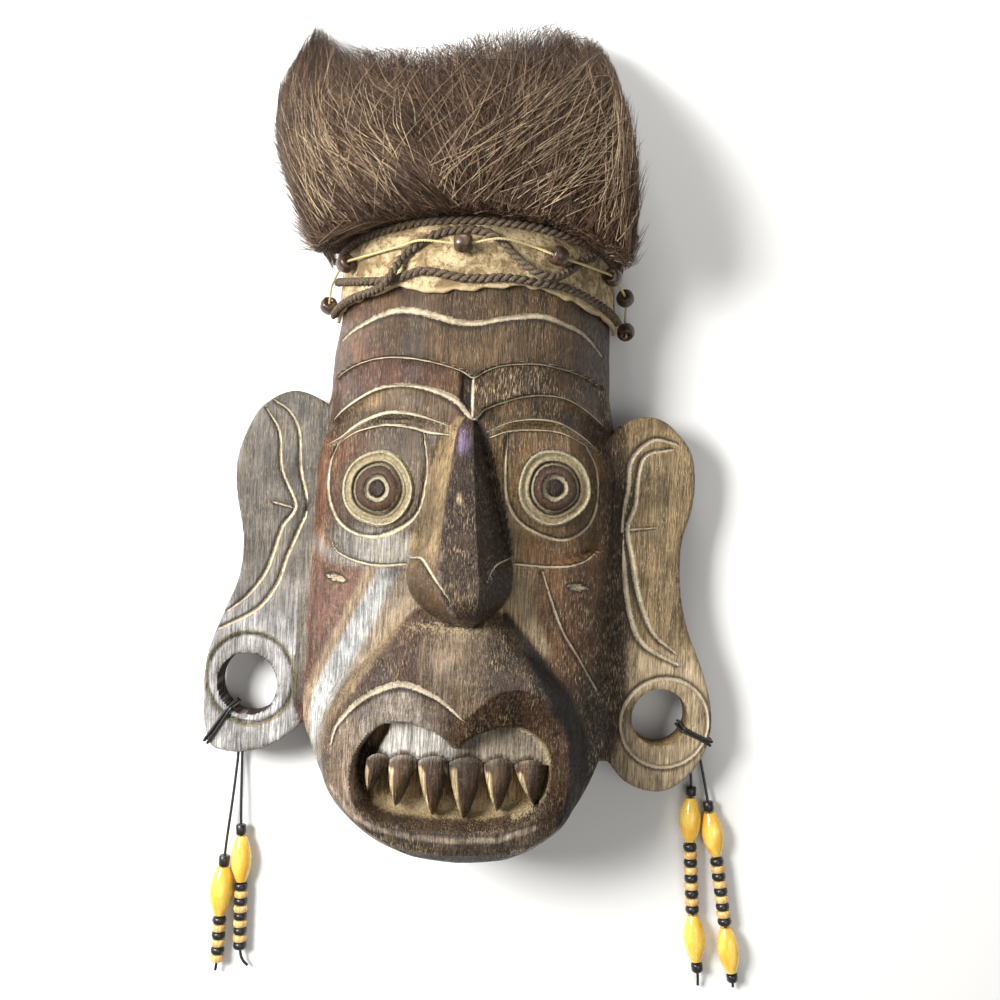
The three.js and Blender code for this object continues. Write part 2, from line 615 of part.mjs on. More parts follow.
function carving() {
  let body = headBody(0);
  const smoothLine = (left, right) => [...smooth(left, 6), ...smooth(right, 6).slice(1)];
  const lower = smooth(CHEEK_LINE, 8);
  body = sink(body, [...smoothLine(BROW_LINE, BROW_LINE_RIGHT), ...lower], BROW_DROP);
  body = sink(body, [...smoothLine(LID_LINE, LID_LINE_RIGHT), ...lower], LID_DROP);
  for (const outline of [SOCKET_LEFT, SOCKET_RIGHT]) {
    body = body.subtract(block(smooth([...outline, outline[0]], 14), SOCKET_HEIGHT, CUT_TOP_Z, socketLean));
  }
  for (const eye of EYES) body = body.add(eyeBody(eye));
  body = body.add(muzzleBody()).add(noseBody());
  const line = (points, steps, drop = 0) =>
    groove(points, steps, LINE_WIDTH, LINE_DEPTH, (x, y) => skinPoint(x, y).z - drop);
  body = body.subtract(line(FOREHEAD_LINE, 12));
  body = body.subtract(line(CREASE_LEFT, 5)).subtract(line(CREASE_RIGHT, 5));
  body = body.subtract(line([[1.4, 35], [1.6, 16]], 2, BROW_DROP));
  for (const [x, y] of NICKS) {
    const half = NICK_LENGTH / 2;
    const outline = [[x - half, y], [x, y - NICK_WIDTH / 2], [x + half, y], [x, y + NICK_WIDTH / 2]];
    const floor = skinPoint(x, y).z - NICK_DEPTH;
    const slope = (skinPoint(x + half, y).z - skinPoint(x - half, y).z) / NICK_LENGTH;
    const shape = outline.map(([px, py]) => new THREE.Vector2(px, py));
    body = body.subtract(block(shape, floor, CUT_TOP_Z, (px) => slope * (px - x)));
  }
  const mouth = mouthOutline();
  const reach = CHIN_HALF_WIDTH;
  const underGum = [[-reach, GUM_LINE_Y], [reach, GUM_LINE_Y], [reach, -HALF_LENGTH], [-reach, -HALF_LENGTH]];
  const lowerMouth = block(underGum.map(([x, y]) => new THREE.Vector2(x, y)), MOUTH_FLOOR, CUT_TOP_Z);
  body = body.subtract(block(mouth, GUM_HEIGHT, CUT_TOP_Z));
  body = body.subtract(block(mouth, MOUTH_FLOOR - 2, CUT_TOP_Z).intersect(lowerMouth));
  const fangs = FANGS.map(fangBody).reduce((all, fang) => all.add(fang));
  body = body.add(fangs.intersect(block(mouth, MOUTH_FLOOR - FANG.root, CUT_TOP_Z)));
  for (const ear of EARS) {
    body = body.add(earBody(ear));
    for (const cut of earCuts(ear)) body = body.subtract(cut);
  }
  return body.subtract(ovalHollow());
}

function hideBand() {
  const shell = headBody(FIT_GAP + HIDE_THICKNESS).subtract(headBody(FIT_GAP));
  const lower = smooth(HIDE_LOWER_EDGE, 14);
  const outline = [...lower, new THREE.Vector2(HIDE_REACH, HIDE_TOP_Y),
    new THREE.Vector2(-HIDE_REACH, HIDE_TOP_Y)];
  return shell.intersect(block(outline, HIDE_LOWEST_Z, CUT_TOP_Z));
}

// The middle line of a rope or twine that lies on the band
function bandRoute(route, over) {
  return route.map(([x, y, lift]) => skinPoint(x, y, over + lift));
}

function tube(points, radius, sides, steps) {
  const section = new THREE.Shape(circle([0, 0, radius], sides));
  return new THREE.ExtrudeGeometry(section, {
    steps,
    extrudePath: new THREE.CatmullRomCurve3(points),
    bevelEnabled: false,
  });
}

function addRopes() {
  const over = FIT_GAP + HIDE_THICKNESS + ROPE_LIFT + ROPE_RADIUS;
  const routes = { upper_rope: UPPER_ROPE, lower_rope: LOWER_ROPE, zigzag_rope: ZIGZAG_ROPE };
  for (const [name, route] of Object.entries(routes)) {
    addPiece(name, tube(bandRoute(route, over), ROPE_RADIUS, ROPE_SIDES, ROPE_STEPS[name]), paint.rope());
  }
}

// The twine runs straight through each nut bead and bends between them.
function addTwine() {
  const places = TWINE_ROUTE.map(([x, y, over]) => skinPoint(x, y, over));
  const points = [];
  const straight = NUT_HALF_LENGTH + 0.8;
  let number = 0;
  places.forEach((place, i) => {
    if (!TWINE_ROUTE[i][3]) {
      points.push(place);
      return;
    }
    const before = places[Math.max(0, i - 1)];
    const after = places[Math.min(places.length - 1, i + 1)];
    const along = after.clone().sub(before).normalize();
    for (const step of [-straight, -straight / 3, straight / 3, straight]) {
      points.push(place.clone().addScaledVector(along, step));
    }
    number += 1;
    const bead = addPiece(`nut_bead_${number}`, nutBead(), paint.nut());
    bead.position.copy(place);
    bead.quaternion.setFromUnitVectors(new THREE.Vector3(0, 1, 0), along);
  });
  addPiece("bead_twine", tube(points, TWINE_RADIUS, 4, 38), paint.twine());
}

// A turned bead with a bore, its axis along Y
function bored(profile, bore, sides) {
  const points = profile.map(([radius, y]) => new THREE.Vector2(radius, y));
  const first = profile[0][1];
  const last = profile[profile.length - 1][1];
  const closedProfile = [new THREE.Vector2(bore, first), ...points, new THREE.Vector2(bore, last),
    new THREE.Vector2(bore, first)];
  return new THREE.LatheGeometry(closedProfile, sides);
}

function nutBead() {
  const mouth = NUT_RADIUS * 0.62;
  const profile = [[mouth, -NUT_HALF_LENGTH], [NUT_RADIUS, 0], [mouth, NUT_HALF_LENGTH]];
  return bored(profile, TWINE_RADIUS + 0.7, 6);
}

function tubeBead(length, diameter) {
  const half = length / 2;
  return bored([[diameter / 2, -half], [diameter / 2, half]], BORE_RADIUS, BEAD_SIDES);
}

function ovalBead(length, diameter) {
  const radius = diameter / 2;
  const profile = [-0.5, -0.3, 0, 0.3, 0.5].map((share) => {
    const bulge = Math.cos(share * OVAL_TAPER);
    return [radius * bulge, share * length];
  });
  return bored(profile, BORE_RADIUS, BEAD_SIDES);
}

// Rings threaded side by side, with a shallow waist between each two
function ringStack(length, diameter) {
  const count = Math.round(length / RING_LENGTH);
  const radius = diameter / 2;
  const profile = [];
  for (let i = 0; i < count; i++) {
    const from = -length / 2 + (i * length) / count;
    profile.push([radius * RING_WAIST, from], [radius, from + length / count / 2]);
  }
  profile.push([radius * RING_WAIST, length / 2]);
  return bored(profile, BORE_RADIUS, RING_SIDES);
}

// The place along a strand where it crosses a given y
function crossing(curve, y) {
  let low = 0;
  let high = 1;
  for (let i = 0; i < 40; i++) {
    const middle = (low + high) / 2;
    if (curve.getPoint(middle).y > y) low = middle;
    else high = middle;
  }
  return low;
}

function addStrand(strand) {
  const points = strand.route.map(([x, y, z]) => new THREE.Vector3(x, y, z));
  const curve = new THREE.CatmullRomCurve3(points);
  addPiece(`${strand.name}_cord`, tube(points, CORD_RADIUS, CORD_SIDES, CORD_STEPS), paint.cord());
  const makers = { tube: tubeBead, oval: ovalBead, rings: ringStack };
  const paints = { tube: paint.cord, oval: paint.yellow, rings: paint.tan };
  const counts = {};
  for (const [kind, y, length, diameter] of strand.beads) {
    counts[kind] = (counts[kind] ?? 0) + 1;
    const name = `${strand.name}_${kind}_${counts[kind]}`;
    const bead = addPiece(name, makers[kind](length, diameter), paints[kind]());
    const at = crossing(curve, y);
    bead.position.copy(curve.getPoint(at));
    bead.quaternion.setFromUnitVectors(new THREE.Vector3(0, 1, 0), curve.getTangent(at).negate());
  }
}

// Where the way from the middle of the ear hole leaves the lobe
function lobeEdge(ear, direction) {
  const edge = smooth(ear.outline, 200);
  const centre = new THREE.Vector2(ear.hole[0], ear.hole[1]);
  let best = edge[0];
  let most = -Infinity;
  for (const point of edge) {
    const way = point.clone().sub(centre).normalize();
    if (way.dot(direction) > most) {
      most = way.dot(direction);
      best = point;
    }
  }
  return best.distanceTo(centre);
}

// Two turns of cord, side by side, through the ear hole and round the edge of the lobe
function earLoop(ear) {
  const angle = THREE.MathUtils.degToRad(ear.cordAngle);
  const direction = new THREE.Vector2(Math.cos(angle), Math.sin(angle));
  const inner = ear.hole[2] - LOOP_CLEARANCE;
  const outer = lobeEdge(ear, direction) + LOOP_CLEARANCE;
  const corner = 1.2;
  const spots = [
    [inner, -1, corner], [inner, 1, -corner], [inner + corner, 1, 0], [outer - corner, 1, 0],
    [outer, 1, -corner], [outer, -1, corner], [outer - corner, -1, 0], [inner + corner, -1, 0],
  ];
  const path = spots.map(([along, face, shift]) => {
    const x = ear.hole[0] + direction.x * along;
    const y = ear.hole[1] + direction.y * along;
    const top = earTop(x) + LOOP_CLEARANCE;
    const bottom = earTop(x) - EAR_THICKNESS - LOOP_CLEARANCE;
    return new THREE.Vector3(x, y, (face > 0 ? top : bottom) + shift);
  });
  const across = new THREE.Vector3(-direction.y, direction.x, 0);
  const rows = path.map((point, i) => {
    const before = path[(i + path.length - 1) % path.length];
    const after = path[(i + 1) % path.length];
    const along = after.clone().sub(before).normalize();
    const out = along.clone().cross(across).normalize();
    const row = [];
    for (let k = 0; k < LOOP_SIDES; k++) {
      const turn = (2 * Math.PI * k) / LOOP_SIDES;
      const spot = point.clone().addScaledVector(across, 2 * CORD_RADIUS * Math.cos(turn));
      row.push(spot.addScaledVector(out, CORD_RADIUS * Math.sin(turn)));
    }
    return row;
  });
  return geometryOf(loftSolid(rows, true));
}

function furCrest() {
  const rows = FUR_ROWS.map(([y, top]) => {
    const row = [];
    const columns = 12;
    for (let i = 0; i <= columns; i++) {
      const angle = (Math.PI * i) / columns;
      const cosine = Math.cos(angle);
      const x = FUR_HALF_WIDTH * Math.sign(cosine) * Math.abs(cosine) ** FUR_ROUNDNESS;
      row.push(new THREE.Vector3(x, y, FUR_LOWEST_Z + (top - FUR_LOWEST_Z) * Math.sin(angle)));
    }
    return row;
  });
  const outline = [...smooth(FUR_OUTLINE, 23), ...smooth(FUR_LOWER_EDGE, 6)];
  const tuft = loftSolid(rows).intersect(block(outline, 0, CUT_TOP_Z));
  return tuft.subtract(headBody(FIT_GAP + HIDE_THICKNESS + FIT_GAP, 50));
}

addPiece("mask_carving", geometryOf(carving()), paint.wood());
addPiece("hide_band", geometryOf(hideBand()), paint.hide());
addRopes();
addTwine();
addPiece("fur_crest", geometryOf(furCrest()), paint.fur());
for (const ear of EARS) addPiece(`${ear.side}_ear_loop`, earLoop(ear), paint.cord());
STRANDS.forEach(addStrand);

export default mask;
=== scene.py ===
import math

import bmesh
import bpy
import numpy as np
from mathutils import Matrix, Vector


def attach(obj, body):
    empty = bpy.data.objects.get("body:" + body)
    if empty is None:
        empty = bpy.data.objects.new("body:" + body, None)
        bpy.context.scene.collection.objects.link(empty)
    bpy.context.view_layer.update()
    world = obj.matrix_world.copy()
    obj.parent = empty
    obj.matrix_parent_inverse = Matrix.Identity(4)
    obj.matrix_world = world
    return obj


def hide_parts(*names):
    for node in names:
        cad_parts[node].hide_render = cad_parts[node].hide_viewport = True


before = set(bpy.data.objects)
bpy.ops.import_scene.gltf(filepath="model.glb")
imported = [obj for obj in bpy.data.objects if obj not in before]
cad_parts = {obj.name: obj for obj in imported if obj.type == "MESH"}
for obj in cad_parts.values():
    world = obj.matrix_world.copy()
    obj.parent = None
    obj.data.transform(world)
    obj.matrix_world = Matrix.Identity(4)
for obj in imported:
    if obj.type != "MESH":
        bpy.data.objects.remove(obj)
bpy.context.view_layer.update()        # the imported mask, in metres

mm = 0.001
scene = bpy.context.scene
dice = np.random.default_rng(41)

# Camera: straight above the mask, turned a little, as the photograph was taken
camera = {"x": 17.5, "y": -25.4, "height": 650.0, "focalPixels": 1116.0, "imagePixels": 1000.0,
          "sensor": 36.0, "roll": 2.5}


def makeCamera():
    data = bpy.data.cameras.new("camera")
    data.sensor_width = camera["sensor"]
    data.lens = camera["sensor"] * camera["focalPixels"] / camera["imagePixels"]
    data.clip_start = 0.01
    lookDown = bpy.data.objects.new("camera", data)
    scene.collection.objects.link(lookDown)
    lookDown.location = (camera["x"] * mm, camera["y"] * mm, camera["height"] * mm)
    lookDown.rotation_euler = (0, 0, math.radians(camera["roll"]))
    scene.camera = lookDown


makeCamera()
print("camera ready")


# Small helpers for meshes

def addObject(name, data, *materials):
    made = bpy.data.objects.new(name, data)
    scene.collection.objects.link(made)
    for material in materials:
        data.materials.append(material)
    return made


def meshFrom(bm, name):
    mesh = bpy.data.meshes.new(name)
    bm.to_mesh(mesh)
    bm.free()
    return mesh


def sheetGrid(points):
    # a grid of faces whose vertices are moved to the given rows of points
    rows, columns = points.shape[:2]
    bm = bmesh.new()
    bmesh.ops.create_grid(bm, x_segments=columns - 1, y_segments=rows - 1, size=1)
    for vert, place in zip(bm.verts, points.reshape(-1, 3)):
        vert.co = place
    return bm


def closeSheet(bm):
    # fills the open rims of a sheet and points all faces outwards
    rims = [edge for edge in bm.edges if edge.is_boundary]
    bmesh.ops.holes_fill(bm, edges=rims, sides=0)
    bmesh.ops.recalc_face_normals(bm, faces=bm.faces)


def wrapGrid(points):
    # a closed body from rows of loops: the grid's side edges are merged, its ends are filled
    bm = sheetGrid(points)
    bmesh.ops.remove_doubles(bm, verts=bm.verts, dist=1e-5)
    closeSheet(bm)
    return bm


def spinBody(profile, sides):
    # a turned body round the Z axis from (radius, height) pairs that begin and end on the axis
    bm = bmesh.new()
    verts = [bm.verts.new((radius, 0, height)) for radius, height in profile]
    edges = [bm.edges.new(pair) for pair in zip(verts, verts[1:])]
    bmesh.ops.spin(bm, geom=verts + edges, axis=(0, 0, 1), cent=(0, 0, 0), steps=sides,
                   angle=2 * math.pi, use_merge=True, use_duplicate=False)
    bmesh.ops.remove_doubles(bm, verts=bm.verts, dist=1e-5)
    bmesh.ops.recalc_face_normals(bm, faces=bm.faces)
    return bm


def turnedRing(profile, sides):
    # a body with a bore, turned round the Z axis from (radius, height) pairs
    bm = bmesh.new()
    verts = [bm.verts.new((radius, 0, height)) for radius, height in profile]
    edges = [bm.edges.new((verts[i], verts[(i + 1) % len(verts)])) for i in range(len(verts))]
    bmesh.ops.spin(bm, geom=verts + edges, axis=(0, 0, 1), cent=(0, 0, 0), steps=sides,
                   angle=2 * math.pi, use_merge=True, use_duplicate=False)
    bmesh.ops.remove_doubles(bm, verts=bm.verts, dist=1e-5)
    bmesh.ops.recalc_face_normals(bm, faces=bm.faces)
    return bm


def threadOn(bm, place, way):
    # turns a body of millimetres to lie along a cord, at its place in metres
    bmesh.ops.scale(bm, vec=(mm, mm, mm), verts=bm.verts)
    turn = Vector((0, 0, 1)).rotation_difference(Vector(way)).to_matrix()
    bmesh.ops.rotate(bm, cent=(0, 0, 0), matrix=turn, verts=bm.verts)
    bmesh.ops.translate(bm, vec=place, verts=bm.verts)


def prism(outline, low, high):
    # an upright block over an outline
    bm = bmesh.new()
    face = bm.faces.new([bm.verts.new((x, y, low)) for x, y in outline])
    grown = bmesh.ops.extrude_face_region(bm, geom=[face], use_keep_orig=True)
    lifted = [item for item in grown["geom"] if isinstance(item, bmesh.types.BMVert)]
    bmesh.ops.translate(bm, vec=(0, 0, high - low), verts=lifted)
    bmesh.ops.recalc_face_normals(bm, faces=bm.faces)
    return bm


def combine(base, other, operation):
    # joins or cuts two closed bodies and leaves the result in the first
    change = base.modifiers.new("combine", "BOOLEAN")
    change.operation = operation
    change.solver = "MANIFOLD"
    change.object = other
    graph = bpy.context.evaluated_depsgraph_get()
    result = bpy.data.meshes.new_from_object(base.evaluated_get(graph))
    base.modifiers.remove(change)
    old = base.data
    base.data = result
    bpy.data.meshes.remove(old)
    bpy.data.objects.remove(other)


def smoothShading(mesh, angle):
    mesh.shade_smooth()
    mesh.set_sharp_from_angle(angle=math.radians(angle))


def scaleToMetres(mesh):
    for vert in mesh.vertices:
        vert.co *= mm


def ease(t):
    t = np.clip(t, 0, 1)
    return t * t * (3 - 2 * t)


def smoothLine(points, perSpan=8, closed=False):
    # a smooth line through a few points, in any number of dimensions
    points = np.array(points, float)
    if closed:
        padded = np.vstack([points[-1], points, points[0], points[1]])
    else:
        padded = np.vstack([2 * points[0] - points[1], points, 2 * points[-1] - points[-2]])
    t = np.linspace(0, 1, perSpan, endpoint=False)[:, None]
    parts = []
    for a, b, c, d in zip(padded, padded[1:], padded[2:], padded[3:]):
        parts.append(0.5 * (2 * b + (c - a) * t + (2 * a - 5 * b + 4 * c - d) * t ** 2
                            + (3 * b - 3 * c + d - a) * t ** 3))
    if not closed:
        parts.append(points[-1:])
    return np.vstack(parts)


def distanceTo(line, x, y):
    # the distance of each place from a line of points
    best = np.full(x.shape, 1e9)
    for (ax, ay), (bx, by) in zip(line[:, :2], line[1:, :2]):
        dx, dy = bx - ax, by - ay
        t = np.clip(((x - ax) * dx + (y - ay) * dy) / max(dx * dx + dy * dy, 1e-9), 0, 1)
        best = np.minimum(best, np.hypot(x - ax - t * dx, y - ay - t * dy))
    return best


def insideOf(outline, x, y):
    # the distance from a closed outline, positive inside it
    loop = np.vstack([outline, outline[:1]])
    inside = np.zeros(x.shape, bool)
    for (ax, ay), (bx, by) in zip(loop, loop[1:]):
        if ay != by:
            crosses = (ay > y) != (by > y)
            inside ^= crosses & (x < (bx - ax) * (y - ay) / (by - ay) + ax)
    gap = distanceTo(loop, x, y)
    return np.where(inside, gap, -gap)


def sideOf(line, x, y, halfWidths):
    # distance from a line in units of its own half width, with a sign for the side, and in millimetres
    reach = np.concatenate([[0], np.cumsum(np.hypot(*np.diff(line[:, :2], axis=0).T))])
    shares = np.linspace(0, reach[-1], len(halfWidths))
    best, value = np.full(x.shape, 1e9), np.full(x.shape, 6.0)
    for i, ((ax, ay), (bx, by)) in enumerate(zip(line[:, :2], line[1:, :2])):
        dx, dy = bx - ax, by - ay
        t = np.clip(((x - ax) * dx + (y - ay) * dy) / max(dx * dx + dy * dy, 1e-9), 0, 1)
        gap = np.hypot(x - ax - t * dx, y - ay - t * dy)
        side = np.where(dy * (x - ax) > dx * (y - ay), gap, -gap)
        width = np.interp(reach[i] + t * (reach[i + 1] - reach[i]), shares, halfWidths)
        value = np.where(gap < best, side / width, value)
        best = np.minimum(best, gap)
    return np.clip(value, -6, 6), best


def softNoise(x, y, z, size, seed):
    # a wandering value between -1 and 1, as a hand tool leaves it
    lattice = np.random.default_rng(seed).uniform(-1, 1, (24, 24, 24))
    place = np.stack(np.broadcast_arrays(x, y, z), axis=-1) / size + 500.0
    cell = np.floor(place).astype(int)
    share = ease(place - cell)
    total = 0
    for corner in range(8):
        step = np.array((corner & 1, corner >> 1 & 1, corner >> 2 & 1))
        i, j, k = np.moveaxis((cell + step) % 24, -1, 0)
        total = total + np.prod(np.where(step, share, 1 - share), axis=-1) * lattice[i, j, k]
    return total


# Node helpers for the materials

def sRgb(code):
    # a colour as painters write it, turned into light
    parts = [int(code[i:i + 2], 16) / 255 for i in (0, 2, 4)]
    return [p / 12.92 if p <= 0.04045 else ((p + 0.055) / 1.055) ** 2.4 for p in parts]


class Paint:
    # one material and its nodes

    def __init__(self, name, roughness=0.5, specular=0.5, coat=0.0, coatRoughness=0.2, sheen=0.0):
        self.material = bpy.data.materials.new(name)
        self.material.use_nodes = True
        self.tree = self.material.node_tree
        self.shader = self.tree.nodes["Principled BSDF"]
        self.shader.inputs["Roughness"].default_value = roughness
        self.shader.inputs["Specular IOR Level"].default_value = specular
        self.shader.inputs["Coat Weight"].default_value = coat
        self.shader.inputs["Coat Roughness"].default_value = coatRoughness
        self.shader.inputs["Sheen Weight"].default_value = sheen

    def node(self, kind, **settings):
        made = self.tree.nodes.new(kind)
        for key, value in settings.items():
            setattr(made, key, value)
        return made

    def link(self, source, target):
        if isinstance(source, (int, float)):
            target.default_value = source
        elif isinstance(source, (list, tuple)):
            target.default_value = (*source[:3], 1)
        else:
            self.tree.links.new(source, target)

    def place(self, scale=(1, 1, 1)):
        # the place on the piece, in millimetres, stretched by scale
        coords = self.node("ShaderNodeTexCoord")
        mapping = self.node("ShaderNodeMapping")
        mapping.inputs["Scale"].default_value = [1000 * s for s in scale]
        self.link(coords.outputs["Object"], mapping.inputs["Vector"])
        return mapping.outputs["Vector"]

    def noise(self, where, scale, detail=3.0, rough=0.5, distortion=0.0):
        made = self.node("ShaderNodeTexNoise")
        self.link(where, made.inputs["Vector"])
        made.inputs["Scale"].default_value = scale
        made.inputs["Detail"].default_value = detail
        made.inputs["Roughness"].default_value = rough
        made.inputs["Distortion"].default_value = distortion
        return made.outputs["Fac"]

    def between(self, value, low, high, toLow=0.0, toHigh=1.0):
        made = self.node("ShaderNodeMapRange", clamp=True, interpolation_type="SMOOTHSTEP")
        self.link(value, made.inputs["Value"])
        made.inputs["From Min"].default_value = low
        made.inputs["From Max"].default_value = high
        made.inputs["To Min"].default_value = toLow
        made.inputs["To Max"].default_value = toHigh
        return made.outputs["Result"]

    def sums(self, operation, a, b):
        made = self.node("ShaderNodeMath", operation=operation)
        self.link(a, made.inputs[0])
        self.link(b, made.inputs[1])
        return made.outputs["Value"]

    def plus(self, a, b):
        return self.sums("ADD", a, b)

    def minus(self, a, b):
        return self.sums("SUBTRACT", a, b)

    def times(self, a, b):
        return self.sums("MULTIPLY", a, b)

    def mix(self, factor, a, b, blend="MIX"):
        made = self.node("ShaderNodeMix", data_type="RGBA", blend_type=blend)
        self.link(factor, made.inputs["Factor"])
        self.link(a, made.inputs["A"])
        self.link(b, made.inputs["B"])
        return made.outputs["Result"]

    def grey(self, value):
        made = self.node("ShaderNodeCombineColor")
        for channel in ("Red", "Green", "Blue"):
            self.link(value, made.inputs[channel])
        return made.outputs["Color"]

    def ramp(self, value, stops):
        made = self.node("ShaderNodeValToRGB")
        marks = made.color_ramp.elements
        while len(marks) < len(stops):
            marks.new(0.5)
        for mark, (position, code) in zip(marks, stops):
            mark.position = position
            mark.color = (*sRgb(code), 1)
        self.link(value, made.inputs["Fac"])
        return made.outputs["Color"]

    def attribute(self, name):
        return self.node("ShaderNodeAttribute", attribute_name=name)

    def value(self, name):
        return self.attribute(name).outputs["Fac"]

    def colour(self, value):
        self.link(value, self.shader.inputs["Base Color"])

    def roughness(self, value):
        self.link(value, self.shader.inputs["Roughness"])

    def bump(self, height, distance, strength=1.0):
        made = self.node("ShaderNodeBump")
        made.inputs["Distance"].default_value = distance * mm
        made.inputs["Strength"].default_value = strength
        self.link(height, made.inputs["Height"])
        self.link(made.outputs["Normal"], self.shader.inputs["Normal"])


def addTint(mesh, colours, name="tint"):
    # one colour for each vertex, as red, green, blue and a fourth value
    layer = mesh.color_attributes.new(name, "FLOAT_COLOR", "POINT")
    layer.data.foreach_set("color", np.asarray(colours, np.float32).ravel())


# The materials of the piece

# how far out each ring of an eye starts, as a share of 20 mm, and its colour
eyeRings = [(0.0, "33231a"), (0.21, "2b1d14"), (0.25, "b5a98c"), (0.31, "b0a386"), (0.335, "17100c"),
            (0.4, "553a26"), (0.52, "3f2b1b"), (0.55, "17100c"), (0.57, "a1957a"), (0.6, "a1957a"),
            (0.63, "3d3023"), (0.67, "7b6c53"), (0.71, "aa9c7c"), (0.82, "8f7f5f"), (0.9, "c8bc9a"),
            (0.955, "261b13")]


def woodPaint():
    # dark rubbed wood: tint is its stain, with painted shade and highlights; its fourth value the pale flecks
    # in the open pores
    paint = Paint("carvedWood", specular=0.28, coat=0.04, coatRoughness=0.25)
    place = paint.place()
    grain = paint.place((1, 0.05, 0.3))
    fine = paint.noise(grain, 1.5, 5, 0.62, 0.3)
    broad = paint.noise(grain, 0.16, 3, 0.55, 0.6)
    cloud = paint.noise(place, 0.04, 4, 0.6)
    stain = paint.attribute("tint")
    streak = paint.between(fine, 0.36, 0.66, 0.48, 1.44)
    wide = paint.between(broad, 0.3, 0.72, 0.7, 1.3)
    mottle = paint.between(cloud, 0.3, 0.7, 0.6, 1.4)
    shade = paint.times(paint.times(streak, wide), mottle)
    dashes = paint.between(paint.noise(paint.place((1, 0.1, 0.3)), 1.0, 3, 0.6), 0.56, 0.68, 1.0, 0.6)
    shade = paint.times(shade, dashes)
    base = paint.mix(1.0, stain.outputs["Color"], paint.grey(shade), "MULTIPLY")
    base = paint.mix(1.0, base, (0.91, 0.79, 0.66), "MULTIPLY")
    # open pores hold pale dust, as short upright flecks
    pores = paint.noise(paint.place((1, 0.12, 0.3)), 2.4, 2, 0.5)
    patches = paint.noise(place, 0.07, 3, 0.6)
    flaws = paint.between(patches, 0.38, 0.6, 0.25, 1.0)
    fleck = paint.times(paint.between(pores, 0.53, 0.66), flaws)
    fleck = paint.times(fleck, stain.outputs["Alpha"])
    base = paint.mix(fleck, base, sRgb("cdb48c"))
    # carved lines: pale dust in the cut, a painted shadow beside it
    close = paint.value("nearLine")
    sides = [paint.value(group) for group in ("cutA", "cutB", "cutC")]
    gaps = [paint.sums("ABSOLUTE", side, 0.0) for side in sides]
    nearest = paint.sums("MINIMUM", paint.sums("MINIMUM", gaps[0], gaps[1]), gaps[2])
    shadow = 0.0
    for side in sides:
        dark = paint.minus(paint.between(side, 0.5, 1.1), paint.between(side, 1.4, 3.6))
        shadow = paint.sums("MAXIMUM", dark, shadow)
    shadow = paint.times(shadow, paint.between(close, 2.0, 3.0, 0.75, 0.0))
    base = paint.mix(shadow, base, sRgb("1a110c"))
    ragged = paint.noise(place, 0.9, 4, 0.7)
    reach = paint.plus(nearest, paint.between(ragged, 0.3, 0.7, -0.35, 0.35))
    onCut = paint.between(close, 0.6, 1.0, 1.0, 0.0)
    line = paint.times(paint.between(reach, 0.65, 1.25, 1.0, 0.0), onCut)
    worn = paint.between(paint.noise(place, 0.18, 3, 0.6), 0.3, 0.6, 0.55, 0.95)
    line = paint.times(line, worn)
    base = paint.mix(line, base, paint.mix(ragged, sRgb("bda67c"), sRgb("f0e6cf")))
    # dust that lies in hollows, and painted light on the mouth's right inner wall
    looseDustAndLight = paint.plus(paint.value("dustAndPaintedLight"), paint.between(ragged, 0.3, 0.7, -0.4, 0.4))
    looseDustAndLight = paint.between(looseDustAndLight, 0.25, 0.85)
    base = paint.mix(looseDustAndLight, base, paint.mix(ragged, sRgb("85745a"), sRgb("c6b48c")))
    # rings of the eyes, from the middle out
    eye = paint.value("eyeRadius")
    rough = paint.plus(eye, paint.between(ragged, 0.3, 0.7, -0.35, 0.35))
    rings = paint.ramp(paint.sums("DIVIDE", rough, 20.0), eyeRings)
    worn = paint.between(paint.noise(place, 0.6, 5, 0.75), 0.32, 0.68, 0.55, 1.2)
    rings = paint.mix(1.0, rings, paint.grey(worn), "MULTIPLY")
    inEye = paint.minus(1.0, paint.between(eye, 19.0, 19.6))
    base = paint.mix(inEye, base, rings)
    paint.colour(base)
    gloss = paint.between(paint.noise(place, 0.35, 4, 0.65), 0.3, 0.7, 0.16, 0.4)
    gloss = paint.plus(gloss, paint.value("dull"))
    gloss = paint.plus(gloss, paint.times(line, 0.3))
    gloss = paint.plus(gloss, paint.times(looseDustAndLight, 0.4))
    paint.roughness(gloss)
    tool = paint.noise(place, 0.14, 2, 0.5)
    height = paint.plus(paint.times(fine, 1.1), paint.times(tool, 1.4))
    pits = paint.noise(paint.place((1, 0.45, 1)), 1.1, 4, 0.65)
    height = paint.plus(height, paint.times(pits, 0.9))
    height = paint.minus(height, paint.times(paint.between(pores, 0.56, 0.74), 0.35))
    groove = paint.times(paint.between(nearest, 0.0, 1.5, 1.0, 0.0), onCut)
    height = paint.minus(height, paint.times(groove, 1.3))
    height = paint.plus(height, paint.times(ragged, 0.25))
    paint.bump(height, 0.9, 0.9)
    return paint.material


